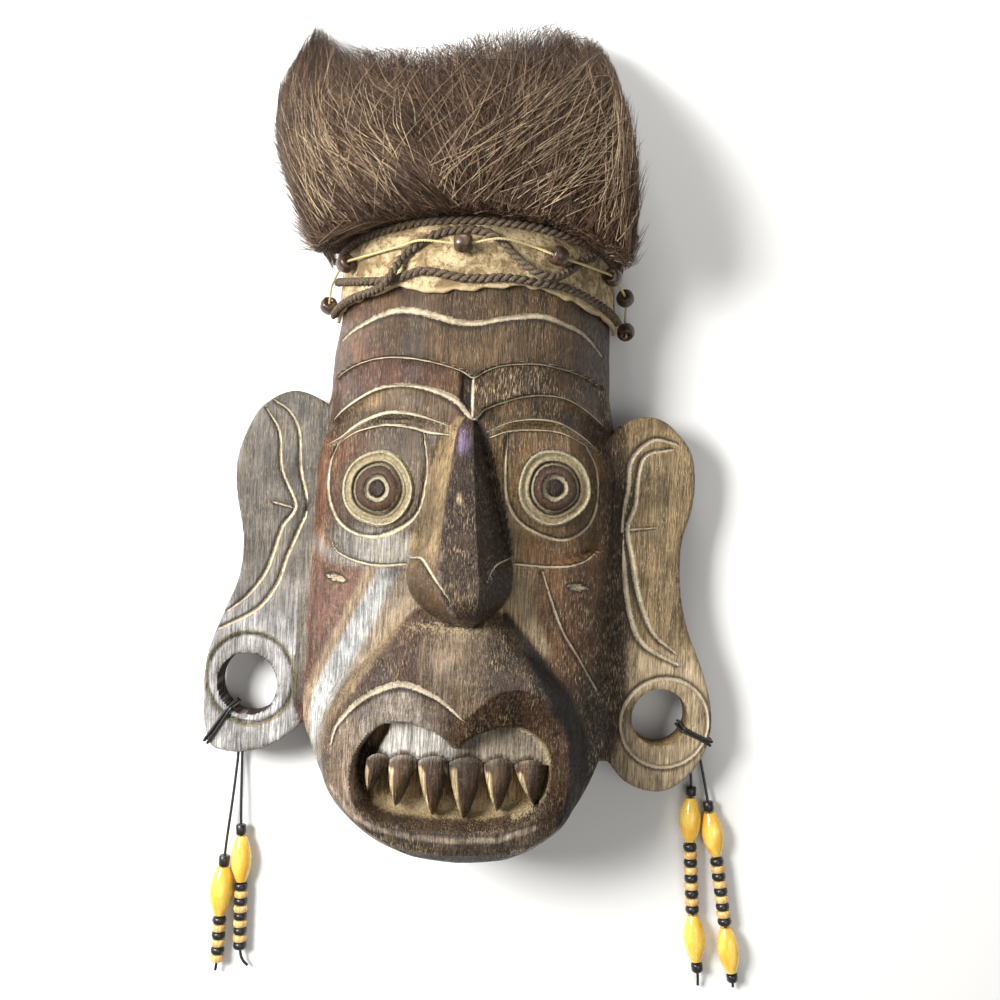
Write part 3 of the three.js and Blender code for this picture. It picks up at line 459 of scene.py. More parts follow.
def hidePaint():
    # rawhide: tan, stained brown in patches, with the fourth value of tint as grime
    paint = Paint("rawhide", roughness=0.75, specular=0.3)
    place = paint.place()
    cloud = paint.noise(place, 0.09, 5, 0.65, 0.6)
    grime = paint.noise(place, 0.35, 5, 0.75, 0.3)
    spots = paint.noise(place, 1.4, 4, 0.7)
    base = paint.mix(paint.between(cloud, 0.36, 0.62), sRgb("8a7350"), sRgb("d8c296"))
    base = paint.mix(paint.between(grime, 0.48, 0.64, 0.0, 0.8), base, sRgb("6b4e2e"))
    base = paint.mix(paint.between(spots, 0.55, 0.7, 0.0, 0.45), base, sRgb("4b341e"))
    base = paint.mix(paint.attribute("tint").outputs["Alpha"], base, sRgb("4b3623"))
    base = paint.mix(paint.value("rim"), base, sRgb("d6bd94"))
    paint.colour(base)
    fibres = paint.noise(paint.place((0.4, 1.2, 1)), 1.6, 5, 0.75)
    height = paint.plus(fibres, paint.between(cloud, 0.3, 0.7, 0, 1.2))
    paint.bump(paint.plus(height, paint.times(grime, 1.0)), 0.8, 1.0)
    return paint.material


def fibrePaint(name, dark, light, scale=1.2):
    paint = Paint(name, roughness=0.85, specular=0.25)
    fibres = paint.noise(paint.place(), scale, 5, 0.7)
    paint.colour(paint.mix(paint.between(fibres, 0.32, 0.68), sRgb(dark), sRgb(light)))
    paint.bump(fibres, 0.5, 0.9)
    return paint.material


def hairPaint():
    # each hair has its own colour in tint
    paint = Paint("fur", roughness=0.5, specular=0.35)
    tone = paint.noise(paint.place(), 0.4, 3, 0.6)
    shade = paint.mix(paint.between(tone, 0.3, 0.7), (0.75, 0.75, 0.75), (1.15, 1.12, 1.1))
    paint.colour(paint.mix(1.0, paint.attribute("tint").outputs["Color"], shade, "MULTIPLY"))
    return paint.material


def undercoatPaint():
    # matted hair, streaked along the lie of the fur
    paint = Paint("furUndercoat", roughness=0.85, specular=0.15)
    lie = paint.node("ShaderNodeCombineXYZ")
    paint.link(paint.value("flowAcross"), lie.inputs["X"])
    paint.link(paint.times(paint.value("flowAlong"), 0.07), lie.inputs["Y"])
    streak = paint.noise(lie.outputs["Vector"], 1.3, 5, 0.7)
    fine = paint.noise(paint.place((1, 0.2, 1)), 1.5, 5, 0.7)
    both = paint.plus(paint.times(streak, 0.6), paint.times(fine, 0.4))
    paint.colour(paint.mix(paint.between(both, 0.36, 0.62), sRgb("2b2018"), sRgb("66523f")))
    paint.bump(both, 1.5, 1.0)
    return paint.material


def beadPaint(name, dark, light, roughness, coat, scale=0.5):
    # lacquered wood or nut shell, a little uneven
    paint = Paint(name, roughness=roughness, specular=0.5, coat=coat, coatRoughness=0.08)
    cloud = paint.noise(paint.place((1, 0.35, 1)), scale, 4, 0.6)
    paint.colour(paint.mix(paint.between(cloud, 0.36, 0.66), sRgb(dark), sRgb(light)))
    paint.bump(cloud, 0.2, 0.5)
    return paint.material


paints = {
    "wood": woodPaint(),
    "hide": hidePaint(),
    "rope": fibrePaint("darkRope", "2a221c", "7b6a58"),
    "twine": fibrePaint("paleTwine", "b9a468", "efe2b0", 3.0),
    "hair": hairPaint(),
    "undercoat": undercoatPaint(),
    "nut": beadPaint("nutShell", "2a1c13", "5b432f", 0.4, 0.2),
    "black": beadPaint("blackWax", "141312", "2a2826", 0.35, 0.2, 2.0),
    "yellow": beadPaint("yellowLacquer", "ecb23a", "f8d768", 0.25, 0.6, 0.18),
    "tan": beadPaint("tanWood", "c99a52", "ecc98a", 0.4, 0.2),
}
print("materials ready")


# Hanging strands: cord routes from behind the ear lobes to the ends, in metres

strands = {
    "left_outer": {
        "route": [(-0.1300, -0.160, 0.0044), (-0.1286, -0.166, 0.0042), (-0.1276, -0.172, 0.0042),
                  (-0.1274, -0.180, 0.0045), (-0.1280, -0.190, 0.0050), (-0.1289, -0.202, 0.0056),
                  (-0.1300, -0.214, 0.0062), (-0.1311, -0.226, 0.0068), (-0.1319, -0.236, 0.0071),
                  (-0.1325, -0.245, 0.0071), (-0.1330, -0.254, 0.0069), (-0.1334, -0.263, 0.0067),
                  (-0.1337, -0.272, 0.0064), (-0.1339, -0.283, 0.0060), (-0.1342, -0.294, 0.0056),
                  (-0.1346, -0.300, 0.0052), (-0.1352, -0.304, 0.0046)],
        "beads": [("tube", -239.6, 6.0, 6.2), ("oval", -257.1, 28.0, 13.4), ("rings", -285.2, 26.4, 8.2)],
        "end": "knot",
    },
    "left_inner": {
        "route": [(-0.1236, -0.160, 0.0044), (-0.1244, -0.166, 0.0042), (-0.1250, -0.172, 0.0042),
                  (-0.1250, -0.180, 0.0045), (-0.1247, -0.190, 0.0050), (-0.1243, -0.202, 0.0056),
                  (-0.1239, -0.212, 0.0061), (-0.1234, -0.221, 0.0063), (-0.1229, -0.230, 0.0063),
                  (-0.1225, -0.239, 0.0062), (-0.1223, -0.248, 0.0060), (-0.1221, -0.257, 0.0058),
                  (-0.1219, -0.268, 0.0055), (-0.1217, -0.279, 0.0052), (-0.1213, -0.289, 0.0049),
                  (-0.1210, -0.294, 0.0046), (-0.1196, -0.298, 0.0040), (-0.1170, -0.301, 0.0034)],
        "beads": [("tube", -221.6, 5.8, 5.8), ("oval", -238.4, 26.4, 12.0), ("rings", -271.7, 38.6, 8.0)],
        "end": "bare",
    },
    "right_inner": {
        "route": [(0.1315, -0.163, 0.0044), (0.1328, -0.169, 0.0042), (0.1342, -0.176, 0.0043),
                  (0.1349, -0.183, 0.0050), (0.1350, -0.190, 0.0058), (0.1350, -0.197, 0.0063),
                  (0.1351, -0.206, 0.0064), (0.1353, -0.215, 0.0064), (0.1359, -0.224, 0.0064),
                  (0.1368, -0.235, 0.0064), (0.1377, -0.246, 0.0064), (0.1386, -0.256, 0.0064),
                  (0.1397, -0.266, 0.0064), (0.1409, -0.276, 0.0064), (0.1421, -0.285, 0.0062),
                  (0.1432, -0.292, 0.0055), (0.1439, -0.297, 0.0044), (0.1442, -0.301, 0.0034)],
        "beads": [("tube", -188.4, 5.4, 6.0), ("oval", -204.6, 25.2, 12.4), ("rings", -238.3, 40.4, 8.2),
                  ("oval", -272.8, 26.6, 12.4), ("tube", -289.6, 4.8, 6.6)],
        "end": "bare",
    },
    "right_outer": {
        "route": [(0.1365, -0.158, 0.0044), (0.1384, -0.165, 0.0042), (0.1404, -0.173, 0.0043),
                  (0.1422, -0.181, 0.0048), (0.1439, -0.189, 0.0056), (0.1454, -0.197, 0.0062),
                  (0.1470, -0.205, 0.0064), (0.1486, -0.213, 0.0064), (0.1502, -0.221, 0.0064),
                  (0.1520, -0.231, 0.0064), (0.1539, -0.242, 0.0064), (0.1558, -0.253, 0.0064),
                  (0.1576, -0.263, 0.0064), (0.1594, -0.273, 0.0064), (0.1612, -0.283, 0.0064),
                  (0.1627, -0.291, 0.0060), (0.1638, -0.297, 0.0049), (0.1645, -0.301, 0.0038)],
        "beads": [("tube", -196.5, 5.4, 6.0), ("oval", -212.4, 25.2, 12.6), ("rings", -245.2, 39.2, 8.2),
                  ("oval", -278.8, 26.0, 12.4), ("tube", -294.8, 4.4, 6.4)],
        "end": "bare",
    },
}
strandCord = {"diameter": 1.6, "bore": 0.9, "ringLength": 4.4, "beadSides": 28, "perSpan": 4}


def curveTube(name, lines, radius, material, resolution=3, closed=False):
    # round cord along each line of points, in metres
    data = bpy.data.curves.new(name, "CURVE")
    data.dimensions = "3D"
    data.bevel_depth = radius
    data.bevel_resolution = resolution
    data.use_fill_caps = True
    for line in lines:
        spline = data.splines.new("POLY")
        spline.points.add(len(line) - 1)
        for point, place in zip(spline.points, line):
            point.co = (*place, 1)
        spline.use_cyclic_u = closed
    return addObject(name, data, material)


def curveToMesh(made):
    # turns a curve piece into a plain mesh piece of the same name
    graph = bpy.context.evaluated_depsgraph_get()
    mesh = bpy.data.meshes.new_from_object(made.evaluated_get(graph))
    name = made.name
    bpy.data.objects.remove(made)
    piece = bpy.data.objects.new(name, mesh)
    scene.collection.objects.link(piece)
    mesh.shade_smooth()
    return piece


def along(line, y):
    # place and direction where a strand crosses a given y
    order = np.argsort(line[:, 1])
    place = np.array([np.interp(y, line[order, 1], line[order, axis]) for axis in range(3)])
    near = np.array([np.interp(y - 2 * mm, line[order, 1], line[order, axis]) for axis in range(3)])
    return place, (near - place) / np.linalg.norm(near - place)


def beadProfile(kind, length, diameter):
    # (radius, height) pairs round a bead's section, from the bore out and back
    radius, half, bore = diameter / 2, length / 2, strandCord["bore"]
    if kind == "oval":
        shares = np.linspace(-1, 1, 19)
        outer = [(radius * max(math.cos(abs(s) * 1.12) ** 0.9, 0.36), s * half) for s in shares]
    elif kind == "ring":
        turns = np.linspace(-90, 90, 9)
        outer = [(radius - 1.1 + 1.1 * math.cos(math.radians(a)), half * math.sin(math.radians(a)))
                 for a in turns]
    else:
        outer = [(radius - 0.5, -half), (radius, -half + 0.6), (radius, half - 0.6), (radius - 0.5, half)]
    return [(bore, -half), *outer, (bore, half)]


def addBead(name, kind, place, direction, length, diameter, material):
    bm = turnedRing(beadProfile(kind, length, diameter), strandCord["beadSides"])
    threadOn(bm, place, direction)
    mesh = meshFrom(bm, name)
    smoothShading(mesh, 50)
    return addObject(name, mesh, material)


def addStrand(name, strand):
    line = smoothLine(strand["route"], strandCord["perSpan"])
    cord = curveTube(f"{name}_strand", [line], strandCord["diameter"] / 2 * mm, paints["black"])
    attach(cord, "root")
    pieces = []
    counts = {}
    for kind, y, length, diameter in strand["beads"]:
        counts[kind] = counts.get(kind, 0) + 1
        node = f"{name}_{kind}_{counts[kind]}"
        place, direction = along(line, y * mm)
        if kind == "rings":
            number = round(length / strandCord["ringLength"])
            pitch = length / number
            for i in range(number):
                spot = place + direction * (i - (number - 1) / 2) * pitch * mm
                colour = "tan" if i % 2 else "black"
                ring = addBead(f"{name}_ring_{i + 1}", "ring", spot, direction, pitch * 0.94,
                               diameter * (1.0 if i % 2 else 0.96), paints[colour])
                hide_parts(node)
                pieces.append(ring)
        else:
            paint = paints["yellow" if kind == "oval" else "black"]
            beadName = f"{name}_{kind}_bead_{counts[kind]}"
            bead = addBead(beadName, kind, place, direction, length, diameter, paint)
            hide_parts(node)
            pieces.append(bead)
    for piece in pieces:
        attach(piece, "root")
    length = float(np.linalg.norm(np.diff(line, axis=0), axis=1).sum())
    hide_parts(f"{name}_cord")


for strandName, strandFacts in strands.items():
    addStrand(strandName, strandFacts)
print("ear strands ready")


# The head: sections along the face, as y, half width, height and squareness

head = {
    "halfLength": 224.5, "chinStartY": -130.0, "chinRollY": -150.0, "domeStartY": 100.0, "domeLength": 38.0,
    "chinHalfWidth": 89.3, "chinHeight": 88.0, "chinSideCurve": 0.6, "chinFrontCurve": 2.6,
    "chinSoftening": 0.3, "chinSoftLength": 60.0, "chinShift": 3.0, "shiftStartY": -140.0,
    "shiftLength": 80.0, "end": 0.6, "swell": 1.6, "swellFromY": 80.0, "swellToY": -175.0,
    "stations": np.array([
        (-150, 86.6, 88, 2.5), (-130, 89.3, 86.5, 2.65), (-95, 88.1, 84, 2.9), (-55, 86.6, 83, 3.1),
        (-15, 85, 85, 3.1), (12, 81.4, 90, 2.8), (38, 77.8, 93, 2.5), (65, 76.8, 93, 2.35),
        (100, 75.5, 92, 2.3)]),
    "rows": 322, "columns": 196, "coarse": 0.45, "fineFromZ": 38.0, "fineToY": 74.0,
}


def stationAt(y, column):
    ys = head["stations"][:, 0]
    values = head["stations"][:, column]
    i = np.clip(np.searchsorted(ys, y) - 1, 0, len(ys) - 2)
    return values[i] + (values[i + 1] - values[i]) * ease((y - ys[i]) / (ys[i + 1] - ys[i]))


def domeShare(y):
    return np.sqrt(1 - np.clip((y - head["domeStartY"]) / head["domeLength"], 0, 1) ** 2)


def headSwell(y):
    # the left side stands out a little more than the right
    return head["swell"] * ease((head["swellFromY"] - y) / 30) * ease((y - head["swellToY"]) / 40)


def headHalfWidth(y):
    chin = np.clip((head["chinStartY"] - y) / (head["halfLength"] + head["chinStartY"]), 0, 1)
    low = head["chinHalfWidth"] * (1 - chin ** 2) ** head["chinSideCurve"]
    return np.where(y < head["chinStartY"], low, stationAt(y, 1) * domeShare(y)) + headSwell(y)


def headHeight(y):
    chin = np.clip((head["chinRollY"] - y) / (head["halfLength"] + head["chinRollY"]), 0, 1)
    low = head["chinHeight"] * np.sqrt(1 - chin ** head["chinFrontCurve"])
    return np.where(y < head["chinRollY"], low, stationAt(y, 2) * domeShare(y))


def headSquareness(y):
    soft = head["chinSoftening"] * np.clip((head["chinRollY"] - y) / head["chinSoftLength"], 0, 1)
    return stationAt(y, 3) - soft


def headMiddle(y):
    return head["chinShift"] * ease((head["shiftStartY"] - y) / head["shiftLength"]) - headSwell(y)


def headFront(x, y, over=0.0):
    # height of the bare head, or of a skin that lies over it
    y = np.asarray(y, float)
    share = np.clip(np.abs(x - headMiddle(y)) / np.maximum(headHalfWidth(y) + over, 0.1), 0, 1)
    return (headHeight(y) + over) * np.sqrt(1 - share ** headSquareness(y))


def headGrid():
    # rows of points round the front of the head, closer together where it is carved
    roll = np.linspace(math.pi / 2, 0, 240)[:-1]
    chinLength = head["halfLength"] + head["chinRollY"]
    ys = np.concatenate([head["chinRollY"] - chinLength * np.sin(roll),
                         np.linspace(head["chinRollY"], head["domeStartY"], 900)[:-1],
                         head["domeStartY"] + head["domeLength"] * np.sin(roll[::-1]),
                         [head["domeStartY"] + head["domeLength"]]])
    heights = headHeight(ys)
    steps = np.hypot(np.diff(ys), np.diff(heights))
    steps *= np.where(ys[1:] > head["fineToY"], head["coarse"], 1.0)
    reach = np.concatenate([[0], np.cumsum(steps)])
    rowYs = np.interp(np.linspace(0, reach[-1], head["rows"]), reach, ys)
    turn = np.linspace(-math.pi / 2, math.pi / 2, 721)
    grid = np.zeros((head["rows"], head["columns"], 3))
    for i, y in enumerate(rowYs):
        width = max(float(headHalfWidth(y)), head["end"])
        height = max(float(headHeight(y)), head["end"])
        x = width * np.sin(turn)
        z = height * np.sqrt(np.clip(1 - np.abs(np.sin(turn)) ** float(headSquareness(y)), 0, 1))
        steps = np.hypot(np.diff(x), np.diff(z)) * np.where(z[1:] < head["fineFromZ"], head["coarse"], 1.0)
        reach = np.concatenate([[0], np.cumsum(steps)])
        even = np.linspace(0, reach[-1], head["columns"])
        grid[i, :, 0] = float(headMiddle(y)) + np.interp(even, reach, x)
        grid[i, :, 1] = y
        grid[i, :, 2] = np.interp(even, reach, z)
    return grid


# Carved lines of the face, in millimetres over the face's own plane

lines = {
    "forehead": [(-73, 57.5), (-62, 62), (-46.6, 67), (-35, 68.5), (-22, 66.2), (-8, 62.5),
                 (3, 62.4), (14, 65), (33, 68.3), (46, 66.2), (58, 63), (70, 55)],
    "brow": [(-80, 35), (-76, 37), (-61, 42), (-48, 44.5), (-34, 44.5), (-18, 42), (-5, 38.5),
             (1.5, 35.3), (8, 39), (16, 42), (31, 44), (43, 43.5), (57, 41.5), (73, 37), (80, 34)],
    "lid": [(-80, 10), (-76, 14), (-61, 23), (-48, 29), (-34, 31), (-20, 29), (-7, 24),
            (1.8, 15), (8, 20), (17, 24), (30, 28), (44, 29), (56, 26), (73, 17), (80, 12)],
    "ledge": [(-76, 1), (-69.2, 5.2), (-54.4, 13.1), (-40.1, 17.1), (-24.3, 15.4), (-7.3, 9.9),
              (1.8, 7), (10.5, 9), (20, 14), (33.2, 16.5), (46.8, 15.5), (61.5, 9), (72, 2)],
    "socketLeft": [(-70.3, 2.7), (-74.6, -9.8), (-74.4, -27.8), (-66.7, -41.4), (-49.9, -47.6),
                   (-34.4, -42.9), (-23.9, -32.4), (-20.6, -11.2), (-22.7, 6.5)],
    "socketLeftTop": [(-70.3, 1.5), (-58, 7.5), (-44, 10.8), (-30, 10), (-20, 7.5), (-9, 6.5)],
    "socketRight": [(20.1, 8.3), (19.4, -9.4), (21.7, -27), (31.2, -38.7), (49.6, -44.9),
                    (63.8, -39), (70.2, -25), (68.8, -6.5), (61.7, 5.7)],
    "socketRightTop": [(11, 6), (20, 9.7), (33.2, 11.4), (46.8, 10.9), (61.5, 5.5)],
    "underEyeLeft": [(-73, -49), (-65.5, -57.2), (-46.2, -61.9), (-28.3, -60.3)],
    "underEyeRight": [(26.1, -57.9), (48, -58.9), (62.1, -56.2), (71, -50.5)],
    "frameLeft": [(-78, 6), (-81.5, -10), (-83, -30), (-80.5, -44), (-72, -54)],
    "creaseLeft": [(-47, -64), (-55, -80), (-64.2, -98.6), (-73, -115), (-79, -129), (-81, -145),
                   (-78, -165)],
    "creaseRight": [(41, -61.4), (46.5, -77), (53, -92.5), (62.5, -107), (73, -124)],
    "valley": [(1.4, 35), (1.6, 16)],
    "wingLeft": [(-27, -57), (-19.9, -56.6), (-12, -64.8), (-4.1, -75.2)],
    "wingRight": [(12.6, -66), (16.5, -58.2), (23.3, -55.2)],
    "lipLeft": [(3.3, -135.1), (-5, -128), (-13.3, -122.8), (-28.6, -118.8), (-46.5, -127),
                (-59.2, -141.2), (-62.5, -152)],
    "muzzleLeft": [(-20, -74), (-26, -79), (-36, -96), (-55, -124.6), (-66, -141), (-71, -160)],
}
lines = {name: smoothLine(points) for name, points in lines.items()}
outlines = {
    "socketLeft": [(-70, 0.5), (-58, 7), (-44, 11), (-30, 10.5), (-22.5, 7), (-20.6, -11), (-24, -32),
                   (-34.5, -43), (-50, -47.6), (-67, -41.5), (-74, -28), (-74.6, -10)],
    "socketRight": [(19.5, 8.5), (33, 11.4), (47, 11), (62, 5), (69, -6.5), (70, -25), (64, -39),
                    (50, -45), (31, -38.7), (21.7, -27), (19.4, -9.4)],
    "lip": [(3.3, -135.1), (-5, -128), (-13.3, -122.8), (-28.6, -118.8), (-46.5, -127),
            (-59.2, -141.2), (-62.9, -157.2), (-59, -177.5), (-47, -193.4), (-26, -204.3),
            (5, -207.4), (35.6, -204.2), (53.1, -191.5), (57.8, -172.4), (57.8, -151.5),
            (52.6, -132.8), (36.7, -120), (21.7, -121.3), (12, -128.2)],
    "mouth": [(0.5, -151.3), (6, -147), (12.6, -143.2), (27.5, -139), (40.3, -143), (48.4, -153),
              (48.3, -171), (39.6, -184.7), (19.8, -192.1), (-5.3, -193.1), (-30.7, -191.3),
              (-45.3, -185), (-51.1, -172.8), (-49.7, -157.6), (-40.3, -144), (-27.8, -139.4),
              (-12.4, -142.8), (-5, -147)],
}
outlines = {name: smoothLine(points, 6, True) for name, points in outlines.items()}
# lines drawn in the finish, in three sets that never touch: name, side of the painted shadow, half widths
# along the line
strokes = {
    "cutA": [("forehead", 1, (0.5, 1.2, 1.6, 1.5, 1.2, 1.4, 1.1, 0.5)),
             ("lid", 1, (0.2, 0.6, 0.7, 0.9, 1.5, 0.4, 0.35, 0.35, 0.3, 0.2)),
             ("socketLeft", -1, (0.3, 0.7, 0.9, 0.8, 1.1, 0.7, 0.6, 0.3)),
             ("socketRight", -1, (0.3, 0.7, 0.8, 0.8, 0.7, 0.7, 0.5, 0.3)),
             ("creaseRight", -1, (0.4, 0.7, 0.6, 0.5)),
             # the pale line along the left lip's edge is a painted highlight, with a painted shadow beside it
             ("lipLeft", -1, (0.5, 1.1, 1.7, 1.4, 1.0, 0.5))],
    "cutB": [("brow", 1, (0.15, 0.3, 0.4, 0.3, 0.3, 0.3, 0.22, 0.15)),
             ("ledge", 1, (0.2, 0.8, 0.8, 0.7, 0.4, 0.1, 0.1, 0.4, 0.5, 0.45, 0.2)),
             ("underEyeLeft", -1, (0.2, 0.5, 0.6, 0.4)),
             ("underEyeRight", -1, (0.3, 0.5, 0.5, 0.25))],
    "cutC": [("valley", 1, (0.6, 0.8, 0.5)),
             ("socketLeftTop", 1, (0.2, 0.45, 0.5, 0.7, 0.4)),
             ("socketRightTop", 1, (0.3, 0.5, 0.4, 0.3)),
             ("wingLeft", 1, (0.3, 0.8, 0.6, 0.2)),
             ("wingRight", -1, (0.1, 0.45, 0.3))],
}
relief = {"browDrop": 2.6, "lidDrop": 2.4, "lineDepth": 1.5, "lineHalfWidth": 1.5, "edge": 1.3,
          "socketHeight": 71.0, "socketSlope": 0.38, "socketMiddleX": 45.5, "gumHeight": 81.0,
          "floorHeight": 68.0, "gumLineY": -160.5}
nicks = [(-67.0, -70.0), (60.0, -69.2)]
nickSize = {"length": 13.0, "width": 4.5, "depth": 1.8, "drawnReach": 6.8, "drawnHalf": 2.1}
cheekTops = np.array([(-80, -47), (-65, -57), (-46, -62), (-28, -60.5), (0, -60), (26, -58), (48, -59),
                      (70, -52), (80, -46)])
# muzzle rows: y, left edge, right edge, height of its top
muzzleRows = smoothLine([
    (-76, -22, 21, 84), (-86, -30, 26, 89), (-99, -38, 31.5, 94), (-113, -49, 43.5, 98), (-126, -59, 56, 99),
    (-141, -65.5, 61, 98), (-158, -67, 62, 97), (-175, -64.5, 61.5, 95), (-190, -55, 57.5, 92),
    (-202, -42, 47, 87), (-211, -27, 34, 78), (-217, -13, 19, 64)])
muzzleSection = np.array([(-0.8, -66), (-0.64, -42), (-0.56, -33), (-0.53, -27), (-0.505, -15), (-0.475, -9),
                          (-0.41, -4), (-0.3, -1.6), (-0.2, -0.5), (0, 0.6), (0.2, -0.5), (0.3, -1.6),
                          (0.41, -4), (0.475, -9), (0.505, -15), (0.53, -27), (0.56, -33), (0.64, -42),
                          (0.8, -66)])
muzzleValley = smoothLine([(-2, -90), (-9, -104), (-8, -116), (0, -130), (2, -137)])


def underLine(name, x, y):
    # how far a place lies below a line that runs across the face
    line = lines[name]
    return np.interp(x, line[:, 0], line[:, 1]) - y


def cut(name, x, y, depth=None, halfWidth=None):
    # a V-shaped cut with a soft foot along one of the lines
    depth = relief["lineDepth"] if depth is None else depth
    halfWidth = relief["lineHalfWidth"] if halfWidth is None else halfWidth
    return depth * ease(1 - distanceTo(lines[name], x, y) / halfWidth)


def socketPlane(x):
    return relief["socketHeight"] - relief["socketSlope"] * (np.abs(x) - relief["socketMiddleX"])


def muzzleShare(x, y):
    # place across the muzzle, from -0.5 at its left edge to 0.5 at its right
    rows = muzzleRows[np.argsort(muzzleRows[:, 0])]
    left = np.interp(y, rows[:, 0], rows[:, 1])
    right = np.interp(y, rows[:, 0], rows[:, 2])
    return (x - (left + right) / 2) / (right - left)


def muzzleTop(x, y):
    rows = muzzleRows[np.argsort(muzzleRows[:, 0])]
    top = np.interp(y, rows[:, 0], rows[:, 3])
    height = top + np.interp(muzzleShare(x, y), muzzleSection[:, 0], muzzleSection[:, 1])
    height = height - 2.2 * np.clip(rows[0, 0] + 1 - y, 0, 99) ** 1.2
    return np.where(y < rows[-1, 0] + 0.5, np.maximum(height, -50), -1e3)


def sideRim(x, y):
    # 1 on the rim between the sockets and the sides of the head
    return ease((np.abs(x) - 74.5) / 4) * ease((14 - y) / 8)


def carveFace(x, y):
    # how far the surface sinks along its own normal
    edge = relief["edge"]
    drop = cut("forehead", x, y)
    cheekTop = np.interp(x, cheekTops[:, 0], cheekTops[:, 1])
    cheek = ease((y - cheekTop) / edge + 0.5)
    underBrow, underLid, underLedge = [underLine(name, x, y) for name in ("brow", "lid", "ledge")]
    # the rim beside the eyes is left standing
    within = 1 - sideRim(x, y)
    drop = drop + relief["browDrop"] * ease(underBrow / edge + 0.5) * cheek * within
    drop = drop + relief["lidDrop"] * ease(underLid / edge + 0.5) * cheek * within
    # each brow band is a little hollow, and the left one ends in a short facet beside the cleft
    inBrow = np.clip(-underLid / np.maximum(underBrow - underLid, 1), 0, 1) * (underBrow > 0)
    drop = drop + 0.9 * np.sin(math.pi * inBrow)
    facet = ease((x + 5.2) / 1.2) * ease((1.8 - x) / 1.0) * ease(underBrow / 2) * ease(-underLid / 2)
    drop = drop + 2.6 * facet
    inLid = np.clip(underLid / np.maximum(underLid - underLedge, 1), 0, 1) * (underLedge < 0)
    drop = drop + 1.6 * np.sin(math.pi * inLid)
    drop = drop + cut("frameLeft", x, y, 0.9, 2.2)
    drop = drop + cut("underEyeLeft", x, y, 1.2, 1.6) + cut("underEyeRight", x, y, 1.0, 1.4)
    # the left cheek is two hollow planes that meet in a raised edge
    lineY, lineX = lines["creaseLeft"][::-1, 1], lines["creaseLeft"][::-1, 0]
    ridge = np.interp(y, lineY, lineX)
    muzzleEdge = np.interp(y, muzzleRows[::-1, 0], muzzleRows[::-1, 1])
    along = ease((-62 - y) / 8) * ease((y + 168) / 25)
    inner = np.clip((x - ridge) / np.maximum(muzzleEdge - ridge, 3), 0, 1)
    outer = np.clip((ridge - x) / np.maximum(ridge + 88, 3), 0, 1)
    drop = drop + along * (2.6 * np.sin(math.pi * inner) + 1.2 * np.sin(math.pi * outer))
    drop = drop + cut("creaseRight", x, y, 1.6, 1.8)
    for nickX, nickY in nicks:
        far = np.abs(x - nickX) / (nickSize["length"] / 2)
        across = np.abs(y - nickY + 0.12 * (x - nickX)) / (nickSize["width"] / 2)
        drop = drop + nickSize["depth"] * ease(1.15 - far ** 2 - across)
    return drop


def flatFace(x, y, z):
    # the sockets, cut flat, and the slope from the ledge down to them
    for side in ("socketLeft", "socketRight"):
        inside = insideOf(outlines[side], x, y)
        plane = socketPlane(x)
        flat = ease(inside / 1.6 + 0.5)
        z = z + (np.minimum(z, plane) - z) * flat
        slope = ease(underLine("ledge", x, y) / 3.5) * ease((y + 8) / 8) * ease((inside + 10) / 4)
        slope = slope * (1 - sideRim(x, y))
        z = z + (np.minimum(z, plane + 0.8) - z) * slope * (1 - flat)
    return z - cut("socketLeft", x, y, 1.3, 1.4) - cut("socketRight", x, y, 1.3, 1.4)


def carveMuzzle(x, y, z):
    top = muzzleTop(x, y)
    top = top - 2.2 * ease(1 - distanceTo(muzzleValley, x, y) / 9)
    inLip = insideOf(outlines["lip"], x, y)
    inMouth = insideOf(outlines["mouth"], x, y)
    slope = np.where(y > -150, 0.42, 0.36)
    top = top - slope * np.clip(inLip, 0, 22) - 0.8 * ease(inLip / 1.2)
    blend = 1.5 + 7 * ease((-188 - y) / 16)
    z = np.where(top > -100, (z + top + np.sqrt((z - top) ** 2 + blend ** 2) - 0.35 * blend) / 2, z)
    # steep walls above, a broad rounded slope inside the lower lip
    wallWidth = 2.2 + 6.0 * ease((-170 - y) / 14)
    wall = ease(inMouth / wallWidth + 0.3)
    gum = relief["gumHeight"] + 0.06 * (y + 150) - 0.6 * softNoise(x, y, 0, 8, 6)
    floor = relief["floorHeight"] + 1.4 * softNoise(x, y, 0, 5, 5)
    gumEdge = np.interp(y, [-160, -146], [-43, -36])
    onGum = ease((x - gumEdge) / 2.5) * (1 - ease((relief["gumLineY"] - y) / 1.6 + 0.5))
    return z + (np.minimum(floor + (gum - floor) * onGum, z) - z) * wall


def headSolid():
    grid = headGrid()
    du = np.gradient(grid, axis=1)
    dv = np.gradient(grid, axis=0)
    normal = np.cross(du, dv)
    normal /= np.maximum(np.linalg.norm(normal, axis=2, keepdims=True), 1e-9)
    x, y, z = grid[..., 0], grid[..., 1], grid[..., 2]
    front = ease((z - 34) / 8)
    drop = carveFace(x, y) * front + 0.45 * softNoise(x, y, z, 13, 3) * ease(z / 12)
    grid = grid - normal * drop[..., None]
    x, y, z = grid[..., 0], grid[..., 1], grid[..., 2]
    carved = flatFace(x, y, z)
    carved = carveMuzzle(x, y, carved)
    grid[..., 2] = np.where(z > 34, z + (carved - z) * ease((z - 34) / 8), z)
    grid[:, (0, -1), 2] = 0
    grid[(0, -1), :, 2] = 0
    bm = sheetGrid(grid)
    closeSheet(bm)
    return addObject("head", meshFrom(bm, "head"))


# Eyes: (radius, height over the socket) from the pupil out to the rim

